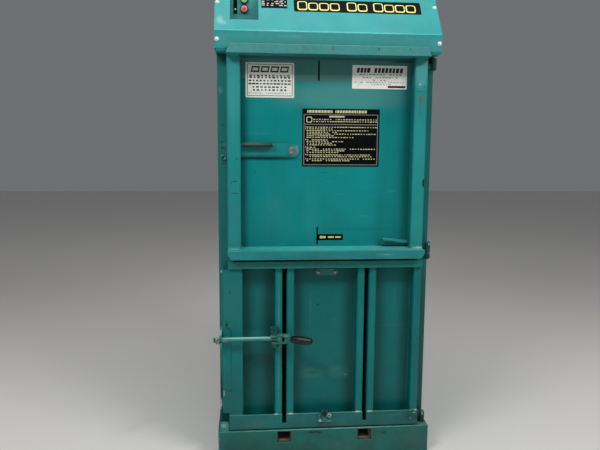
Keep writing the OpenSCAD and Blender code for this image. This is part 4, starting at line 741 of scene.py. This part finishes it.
# Upper door: two folded stiles, a strip above and a box rail below, welded into one frame.
# The stiles are scuffed at hand height, and the rail's top carries a painted highlight.
FRONT = -0.067
door_paint = enamel("door_enamel", (24, 142, 141), dirt=0.22, chips=0.75, low=0.8, high=1.2, dust=0.3, marks=[
    *facing(FRONT, [
        (-380.5, 1190.5, 13.5, 2, 0.5, DARK_SCUFF, 0.9), (-379.5, 1141.5, 15, 1.8, 0.5, DARK_SCUFF, 0.85),
        (-357, 1156, 3, 6, 0.5, DARK_SCUFF, 0.6), (-395, 1183, 4, 6, 0.6, DARK_SCUFF, 0.5),
        (386.5, 1560, 22, 1.3, 0.4, (24, 84, 80), 0.8), (382, 1528, 11, 18, 0.5, (92, 104, 88), 0.9),
        (380, 1496, 5, 30, 0.6, (60, 112, 100), 0.7), (377, 1587, 4, 5, 0.6, (150, 200, 192), 0.8),
        (394, 1578, 2, 8, 0.5, DARK_SCUFF, 0.6), (384, 1186, 6, 2, 0.5, DARK_SCUFF, 0.5),
    ]),
    # Painted highlights on the rail's ledge in front of each stile's foot.
    *facing(-0.085, [
        (-385, 912.5, 26, 4, 0.6, (160, 214, 206), 0.6), (390, 912.5, 26, 4, 0.5, (206, 244, 236), 0.9),
    ], 30),
    # Painted highlights: light on the top of the rail's ledge, and a pale line along its front edge.
    *facing(-0.06, [(0, 916, 360, 12, 0.5, (60, 184, 181), 0.75)], 50),
    *facing(-0.104, [(0, 910.5, 410, 2.6, 0.4, (140, 226, 220), 1.0)], 6),
    *facing(-0.104, [
        (-150, 880, 120, 6, 0.8, (26, 92, 88), 0.4), (240, 889, 30, 3, 0.6, PALE_SCUFF, 0.35),
        (9, 1714, 12, 3, 0.5, (24, 84, 82), 0.5), (194, 1715.5, 3.4, 5.8, 0.4, (6, 26, 26), 0.95),
        # The second patch on the next line is a painted highlight along the top edge of the top strip.
        (323, 1716.5, 2.6, 4, 0.4, (6, 26, 26), 0.85), (0, 1729, 420, 1.3, 0.5, (112, 184, 180), 0.6),
    ]),
    # A painted grey sheen over the face of the top strip.
    *facing(-0.104, [(0, 1712, 600, 24, 0.2, (132, 156, 152), 0.28)], 6),
], shades=[
    # Painted light on the upper part of both stiles.
    *facing(FRONT, [
        (-383, 1550, 30, 140, 0.6, (70, 166, 162), 0.3), (383, 1630, 30, 55, 0.5, (104, 184, 180), 0.4),
    ]),
    # Painted shade on the inner face of the right stile.
    *facing(-0.04, [(355, 1300, 4, 600, 0.3, (4, 66, 66), 0.4)], 27),
    *facing(FRONT, [(405.5, 1184, 6.5, 17, 0.2, (10, 18, 18), 0.95)], 30),
])
dress(door_paint, "upper_stiles", "upper_bottom_rail", "upper_top_strip", "rest_bar")
dress(hinge_paint, "upper_knuckles")
foot, head_line = 0.9068, 1.6942
runs = [((x, FRONT, z), (x + 0.055, FRONT, z)) for x in (-0.41, 0.355) for z in (foot, head_line)]
runs += [((x, -0.045, foot), (x, -0.02, foot)) for x in (-0.3552, 0.3552)]
runs += [((0.244, -0.0178, 0.917), (0.276, -0.0178, 0.915)), ((0.33, -0.0178, 0.9115), (0.353, -0.0178, 0.91))]
weld("upper_door_welds", runs, 0.0028, door_paint, "upper_door")

# Door panel: one flat sheet set 50 mm back in the frame. It keeps the most colour, as little touches it.
PANEL = -0.017
SHADE = (2, 62, 64)
panel_paint = enamel("panel_enamel", (4, 142, 142), dirt=0.12, chips=0.25, low=0.8, high=1.2, shine=0.2, marks=[
    *facing(PANEL, [
        (-7, 1224.5, 16, 1.2, 0.4, (12, 50, 50), 0.9), (-296, 1227, 1.2, 9, 0.4, (12, 50, 50), 0.8),
        (-60, 1060, 30, 120, 0.9, (60, 158, 150), 0.25), (-210, 1080, 50, 100, 0.9, (52, 152, 146), 0.25),
        (150, 985, 120, 8, 0.8, (12, 96, 92), 0.35), (-290, 1385, 60, 3, 0.6, (70, 160, 154), 0.25),
    ]),
], shades=[
    # Painted shadow of the top strip across the top of the panel, grey with a painted reflection, with a paler
    # patch below it; painted shade along both stiles, down the right side and just under the strip; a painted
    # shadow under the latch and a thin painted shadow line near the top right.
    *facing(PANEL, [
        (80, 1540, 260, 54, 0.5, (104, 160, 152), 0.42), (0, 1607, 600, 10, 0.2, (44, 84, 80), 0.5),
        (0, 1690, 600, 7, 0.4, (6, 34, 34), 0.7), (-260, 1282, 110, 8, 0.7, (4, 60, 62), 0.65),
        (-357, 1300, 24, 600, 0.7, SHADE, 0.68), (360, 1300, 36, 600, 0.7, SHADE, 0.5),
        (0, 1650, 600, 53, 0.12, (112, 134, 128), 0.42), (325, 1682, 50, 2.8, 0.5, (4, 34, 34), 0.8),
        (290, 1250, 80, 500, 0.8, SHADE, 0.3),
    ]),
])
dress(panel_paint, "upper_panel")

# Framed plate, upper left of the panel: lacquered plate with a dark keyline.
PLATE = 0.001
plate_face = film("silver_plate", (240, 241, 230), 0.34, 0.1, grime=0.12)
dark_print = film("dark_print", (34, 36, 36), 0.5, 0.1, grime=0.05)
grey_print = film("grey_print", (118, 112, 106), 0.5, 0.1, grime=0.05)


def panel_sheets(name, shapes, thick, material, lift=0.0):
    sheets(name, shapes, thick, upright(PANEL), material, "upper_door", lift)


def panel_rows(name, lines, pitch, height, ink, under, seed, fill):
    """Rows on a plate or sticker of the door panel; under is its thickness."""
    rows(name, lines, pitch, height, ink, upright(PANEL), "upper_door", under + INK / 2, seed, fill)


panel_sheets("framed_plate", [round_corners(-0.334, 1.53, -0.136, 1.67, 0.004)], PLATE, plate_face)
keyline = [round_corners(-0.3275, 1.5365, -0.1425, 1.6635, 0.002),
           round_corners(-0.3255, 1.5385, -0.1445, 1.6615, 0.0016)]
heading = []
for i in range(4):
    left = -0.313 + i * 0.0395
    heading.append([slanted(left, 1.631, left + 0.033, 1.655, 0.005),
                    slanted(left + 0.006, 1.637, left + 0.0285, 1.649, 0.003)])
panel_sheets("framed_plate_print", [keyline] + heading, INK, dark_print, PLATE)
plate_rows = [(-0.313, -0.16, 1.6175), (-0.313, -0.157, 1.61), (-0.316, -0.156, 1.5975),
              (-0.316, -0.156, 1.585), (-0.302, -0.172, 1.572), (-0.3, -0.172, 1.56)]
panel_rows("framed_plate_rows", plate_rows, 0.0145, 0.0062, dark_print, PLATE, 3, 1.0)
panel_rows("framed_plate_small_rows", [(-0.318, -0.154, 1.5475)], 0.0085, 0.0026, grey_print,
           PLATE, 4, 0.95)

# White sticker, upper right of the panel: plain vinyl with a bold heading and a black tab.
vinyl = film("white_vinyl", (247, 246, 238), 0.5, 0.1, grime=0.18)
panel_sheets("white_sticker", [round_corners(0.104, 1.571, 0.334, 1.666, 0.003)], FILM, vinyl)
bold = [slanted(left - 0.0005, 1.636, right - 0.0008, 1.6555, 0.003) for left, right in [
    (0.123, 0.134), (0.1375, 0.149), (0.152, 0.162), (0.165, 0.178), (0.196, 0.207), (0.211, 0.222),
    (0.226, 0.238), (0.242, 0.253), (0.257, 0.268), (0.272, 0.282), (0.286, 0.299), (0.303, 0.315)]]
tab = round_corners(0.254, 1.5755, 0.329, 1.5845, 0.002)
panel_sheets("white_sticker_heading", bold + [tab], INK, dark_print, FILM)
panel_rows("white_sticker_rows", [(0.14, 0.306, 1.629), (0.152, 0.29, 1.617), (0.196, 0.24, 1.6055)],
           0.0135, 0.0036, grey_print, FILM, 6, 0.97)
brown_print = film("brown_print", (146, 108, 92), 0.5, 0.1, grime=0.05)
panel_rows("white_sticker_brown_rows", [(0.118, 0.32, 1.5975), (0.186, 0.262, 1.5895)], 0.012, 0.0026,
           brown_print, FILM, 7, 0.9)

# Large black plate in the middle of the panel: pale yellow rows of bars in a thin silver border.
# Its heading is a line of blocks of several widths, in millimetres; a width of 0 is the space between.
MM = 0.001
ROW_STEP, ROW_GAP = 0.007, 0.003
cream_print = film("cream_print", (204, 202, 156), 0.45, 0.1, grime=0.08)
silver_print = film("silver_print", (132, 128, 124), 0.4, 0.1, grime=0.05)
left, right, low, high = -0.101, 0.223, 1.25, 1.488
panel_sheets("large_plate", [round_corners(left, low, right, high, 0.002)], RIGID, black_film)
border = [rectangle(left + 0.0055, low + 0.006, right - 0.0065, high - 0.0225),
          rectangle(left + 0.0085, low + 0.009, right - 0.0095, high - 0.025)]
divider = rectangle(left + 0.0085, high - 0.0655, right - 0.0095, high - 0.0625)
panel_sheets("large_plate_border", [border, divider], INK, silver_print, RIGID)
title = []
edge = left + 0.02
for width in [5, 11, 9, 11, 11, 9, 11, 11, 9, 0, 5, 10, 9, 9, 10, 11, 9, 9, 5, 11, 10, 9]:
    if width:
        title.append(rectangle(edge, high - 0.017, edge + width * MM, high - 0.006))
    edge += (width + 2.3) * MM if width else 9 * MM
title.append([round_corners(left + 0.0165, high - 0.057, left + 0.041, high - 0.033, 0.006),
              round_corners(left + 0.02, high - 0.0535, left + 0.0375, high - 0.0365, 0.004)])
title.append(rectangle(left + 0.112, high - 0.035, left + 0.176, high - 0.0285))
panel_sheets("large_plate_heading", title, INK, cream_print, RIGID)
text_left, text_right = left + 0.022, right - 0.014
wide_rows = [(left + 0.05, text_right, high - drop) for drop in (0.044, 0.0525)]
up = high - 0.0755
for share in [1.0, 0.35, 0.88, 0.45, 0.98, 0.36, 0.66, None, 0.28, 0.5, 0.34, 0.4, None, 0.1, 0.98, 0.52, 0.44,
              None, 0.94, 0.93, None, 0.98, 0.6]:
    if share is None:
        up -= ROW_GAP
        continue
    wide_rows.append((text_left, text_left + (text_right - text_left) * share, up))
    up -= ROW_STEP
panel_rows("large_plate_rows", wide_rows, 0.0112, 0.0036, cream_print, RIGID, 9, 0.96)
numbers = [rectangle(left + 0.0125, high - drop, left + 0.0155, high - drop + 0.004)
           for drop in (0.077, 0.084, 0.128, 0.159, 0.19, 0.208)]
panel_sheets("large_plate_numbers", numbers, INK, cream_print, RIGID)

# Small black sticker low on the panel: a yellow arrow and two pale bars.
low, high = 0.938, 0.964
outline = round_corners(-0.032, low, 0.076, high, 0.0015)
panel_sheets("arrow_sticker", [outline], FILM, black_film)
middle = (low + high) / 2
tip, neck, tail = -0.026, -0.016, 0.002
arrow = [(tip, middle), (neck, middle - 0.0075), (neck, middle - 0.0045), (tail, middle - 0.0045),
         (tail, middle + 0.0045), (neck, middle + 0.0045), (neck, middle + 0.0075)]
stripes = [rectangle(x0, middle - 0.0035, x1, middle + 0.0035) for x0, x1 in ((0.012, 0.037), (0.043, 0.067))]
panel_sheets("arrow_sticker_print", [arrow] + stripes, INK, yellow_print, FILM)

# Latch of the upper door: a flat bar on a shoulder bolt, with a bent grip. Its paint is worn along the edges.
latch_paint = enamel("latch_enamel", (14, 138, 136), dirt=0.2, chips=1.0, low=1.2, high=1.3, marks=[
    *facing(-0.026, [
        (-136, 1311, 22, 22, 0.35, (120, 176, 168), 0.5), (-118, 1333, 5, 5, 0.5, (190, 214, 206), 0.8),
        # The next patch is painted shade along the lower edge of the bar.
        (-250, 1292.5, 130, 2.2, 0.5, (6, 44, 44), 0.9),
    ]),
], shades=[
    *facing(-0.026, [(-143, 1316, 17.5, 17.5, 0.15, (14, 74, 72), 0.75)]),
])
dress(latch_paint, "latch_bar")
dress(enamel("grip_enamel", (30, 46, 44), dirt=0.4, chips=1.0, gloss=0.42, low=1.3, high=1.4, marks=[
    # Painted highlight along the grip.
    *facing(-0.05, [(-290, 1340, 55, 3.5, 0.5, (112, 122, 114), 0.45)], 20),
]), "latch_grip")
dress(steel("bolt_steel", (196, 198, 188), 0.38, 0.35, 0.8, smear=(112, 124, 112)), "latch_pivot_bolt")

# Lower door: a post and three folded troughs with strap slots between them, a strip above and a rail below.
# Bales and straps drag over it, so the low parts are grimy and scratched.
# The colour of the painted shade in the troughs.
GLOOM = (2, 54, 54)
lower_paint = enamel("lower_enamel", (6, 122, 120), dirt=0.16, chips=0.95, low=0.05, high=0.95, dust=0.35,
                     shine=0.22, marks=[
    *facing(-0.0695, [
        (-400.5, 470, 1.2, 130, 0.25, (6, 44, 42), 0.85), (-400.5, 545, 2.2, 40, 0.4, (6, 44, 42), 0.7),
        (-408, 297.5, 9.5, 1.4, 0.3, (6, 44, 42), 0.85), (-427, 291.5, 9.5, 1.4, 0.3, (6, 44, 42), 0.8),
        (-414, 604, 14, 2.2, 0.5, (30, 76, 72), 0.8), (-418, 587, 4.5, 12, 0.5, (6, 26, 28), 0.9),
        (-408, 572, 3, 7, 0.5, (6, 34, 34), 0.7), (-403, 590, 1.4, 11, 0.4, (90, 150, 142), 0.5),
    ]),
    *facing(FRONT, [(-404, 727, 3.5, 6, 0.5, (10, 58, 56), 0.7)]),
    *facing(FRONT, [(-431, 290, 3, 12, 0.5, (190, 204, 196), 0.6)], 20),
    *facing(FRONT, [(-407, 304, 14, 3, 0.5, DARK_SCUFF, 0.6)]),
    *facing(PANEL, [
        (60, 350, 46, 26, 0.6, (84, 146, 136), 0.22), (96, 338, 6, 5, 0.6, (120, 176, 166), 0.45),
        (-274, 433, 34, 1.6, 0.4, DARK_SCUFF, 0.85), (-60, 640, 3, 80, 0.8, (80, 150, 142), 0.3),
        (300, 560, 60, 3, 0.6, (90, 156, 148), 0.12), (320, 700, 3, 60, 0.7, DARK_SCUFF, 0.35),
    ]),
    # Painted highlight: a pale line along the top of the door, under the strip's lip.
    *facing(FRONT - 0.012, [(0, 856, 400, 2, 0.4, (110, 176, 168), 0.45)], 6),
    # Painted highlight down the edge of a lip.
    *facing(FRONT, [(-199, 520, 4, 300, 0.5, (96, 166, 158), 0.35)], 20),
], shades=[
    *facing(PANEL, [
        (-59, 350, 56, 22, 0.5, (78, 142, 132), 0.42), (-52, 352, 26, 8, 0.6, (20, 96, 92), 0.5),
    ]),
    # Painted shade down both sides of each trough.
    *facing(PANEL, [(x, 520, wide, 420, 0.7, GLOOM, strength) for x, wide, strength in (
        (-345, 34, 0.58), (-226, 34, 0.58), (-124, 30, 0.45), (124, 38, 0.48), (226, 30, 0.42), (362, 30, 0.52))
    ], 30),
    # Painted shade over the troughs, and low in the left trough.
    *facing(PANEL, [
        (0, 460, 400, 420, 0.4, GLOOM, 0.26), (-285, 320, 80, 150, 0.6, GLOOM, 0.32),
    ]),
    # Painted shadow of the top strip across the tops of the troughs.
    *facing(PANEL, [(0, 832, 420, 40, 0.6, GLOOM, 0.4)], 30),
    # Painted shade down the hinge side of the door.
    *facing(FRONT, [(398, 500, 18, 360, 0.5, (14, 66, 64), 0.25)], 20),
    *facing(-0.0695, [
        (-393, 260, 70, 130, 0.7, (26, 74, 72), 0.45), (-393, 700, 70, 110, 0.8, (60, 116, 110), 0.25),
    ]),
])
dress(lower_paint, "lower_post", "left_trough", "middle_trough", "right_trough")
rail_paint = enamel("rail_enamel", (16, 114, 112), dirt=0.5, chips=1.0, gloss=0.44, shine=0.3, marks=[
    *facing(-0.07, [
        (-210, 190, 8, 3, 0.5, (210, 220, 210), 0.9), (-147, 190, 14, 3, 0.5, (210, 220, 210), 0.9),
        (145, 190, 13, 3, 0.5, (204, 214, 204), 0.85), (196, 190, 14, 3, 0.5, (204, 214, 204), 0.85),
        (402, 190, 6, 4, 0.5, (204, 214, 204), 0.85),
    ]),
    *facing(-0.072, [
        (-300, 150, 60, 10, 0.8, (84, 100, 90), 0.35), (80, 137, 140, 8, 0.8, (60, 82, 74), 0.4),
        (300, 170, 40, 3, 0.6, PALE_SCUFF, 0.12), (385, 165, 34, 30, 0.6, (14, 62, 60), 0.6),
        (396, 178, 6, 2, 0.5, (196, 208, 198), 0.9), (380, 152, 3, 4, 0.5, (186, 198, 188), 0.35),
    ]),
    # Painted light on the face of the lower top strip, which the rail above shades.
    *facing(-0.076, [(0, 846, 500, 24, 0.3, (44, 148, 136), 0.4)], 14),
    # Painted highlight along the rail's top edge.
    *facing(-0.072, [(0, 190, 420, 1.6, 0.4, (120, 190, 180), 0.7)]),
], shades=[
    # Painted shade in the gap between the rail's lower edge and the base.
    *facing(-0.074, [(0, 124, 500, 3.6, 0.35, (2, 26, 28), 0.85)], 12),
])
dress(rail_paint, "lower_bottom_rail", "lower_top_strip")
dress(hinge_paint, "lower_knuckles")
lip_face, rail_top, strip_foot = -0.0678, 0.1898, 0.829
lips = [(-0.216, -0.186), (-0.164, -0.134), (0.134, 0.164), (0.186, 0.216), (0.377, 0.408)]
runs = [((x0, lip_face, z), (x1, lip_face, z)) for z, post_left in ((rail_top, -0.41), (strip_foot, -0.408))
        for x0, x1 in [(post_left, -0.352)] + lips]
weld("lower_door_welds", runs, 0.0028, rail_paint, "lower_door")

# Lever bracket: two ears on a plate, welded to the lip of the left trough.
bracket_paint = enamel("bracket_enamel", (14, 86, 84), dirt=0.5, chips=1.0, low=0.3, high=0.8, shine=0.35)
dress(bracket_paint, "lever_bracket")
runs = [((x, FRONT - 0.0004, 0.492), (x, FRONT - 0.0004, 0.576)) for x in (-0.2334, -0.1996)]
weld("bracket_welds", runs, 0.0026, bracket_paint, "lower_door")
dress(steel("pivot_steel", (110, 124, 118), 0.5, 0.5, 0.7, smear=(30, 74, 70)), "pivot_pins")

# Two-bolt plate and hook bracket: small fittings of plate, brushed over with the same paint.
# The domed nuts are bare, and the hook's boss has been rubbed pale.
fitting_paint = enamel("fitting_enamel", (52, 134, 126), dirt=0.4, chips=1.0, low=0.1, high=0.9, shine=0.35,
                       bare=(1, -0.0222, -0.0232))
dress(fitting_paint, "two_bolt_plate")
hasp_paint = enamel("hasp_enamel", (44, 126, 120), dirt=0.6, chips=1.0, gloss=0.5, low=0.1, high=0.4, shine=0.35,
                    marks=[
    *facing(-0.078, [
        (-4, 153, 30, 3, 0.5, (160, 210, 200), 0.8), (-20, 158, 5, 6, 0.5, (170, 216, 206), 0.8),
    ], 20),
], shades=[
    *facing(-0.08, [(-2, 192, 12, 14, 0.3, (4, 18, 20), 0.95)], 20),
    *facing(-0.077, [
        (20, 180, 8.5, 8.5, 0.3, (164, 214, 206), 0.9), (12, 165.5, 12, 3, 0.4, (10, 40, 40), 0.7),
    ], 20),
])
dress(hasp_paint, "hook_bracket")
runs = [((x, -0.0722, 0.155), (x, -0.0722, 0.188)) for x in (-0.0302, 0.0312)]
weld("hasp_welds", runs, 0.0022, rail_paint, "lower_door")

# Tie rod latch: a round bar with an over-centre lever. The bar has a painted highlight along its top and
# painted shade along its underside, and its nut and end are worn bare.
rod_paint = enamel("rod_enamel", (44, 132, 124), dirt=0.35, chips=0.9, low=0.2, high=1.0, marks=[
    *facing(-0.097, [
        (-424, 534, 10, 20, 0.4, (120, 150, 140), 0.7), (-467, 534, 6, 12, 0.3, (14, 22, 20), 0.9),
    ], 20),
], shades=[
    # Painted highlight along the top of the bar.
    *facing(-0.105, [(-310, 542.5, 130, 3, 0.5, (160, 216, 206), 0.6)], 20),
    # Painted shade along its underside.
    *facing(-0.1, [(-310, 526, 140, 4, 0.5, (6, 56, 56), 0.8)], 20),
])
dress(rod_paint, "tie_rod")
dress(enamel("lever_enamel", (26, 108, 102), dirt=0.4, chips=1.0, low=0.2, high=1.0, marks=[
    *facing(-0.11, [
        (-232, 552, 12, 5, 0.5, PALE_SCUFF, 0.7), (-170, 548, 10, 3, 0.5, PALE_SCUFF, 0.6),
    ], 30),
]), "lever")
dress(steel("nut_steel", (186, 194, 178), 0.45, 0.4, 0.6, smear=(34, 66, 60)), "rod_nut")
dress(plastic("grip_moulding", (5, 6, 7), 0.32, 0.05), "lever_grip")
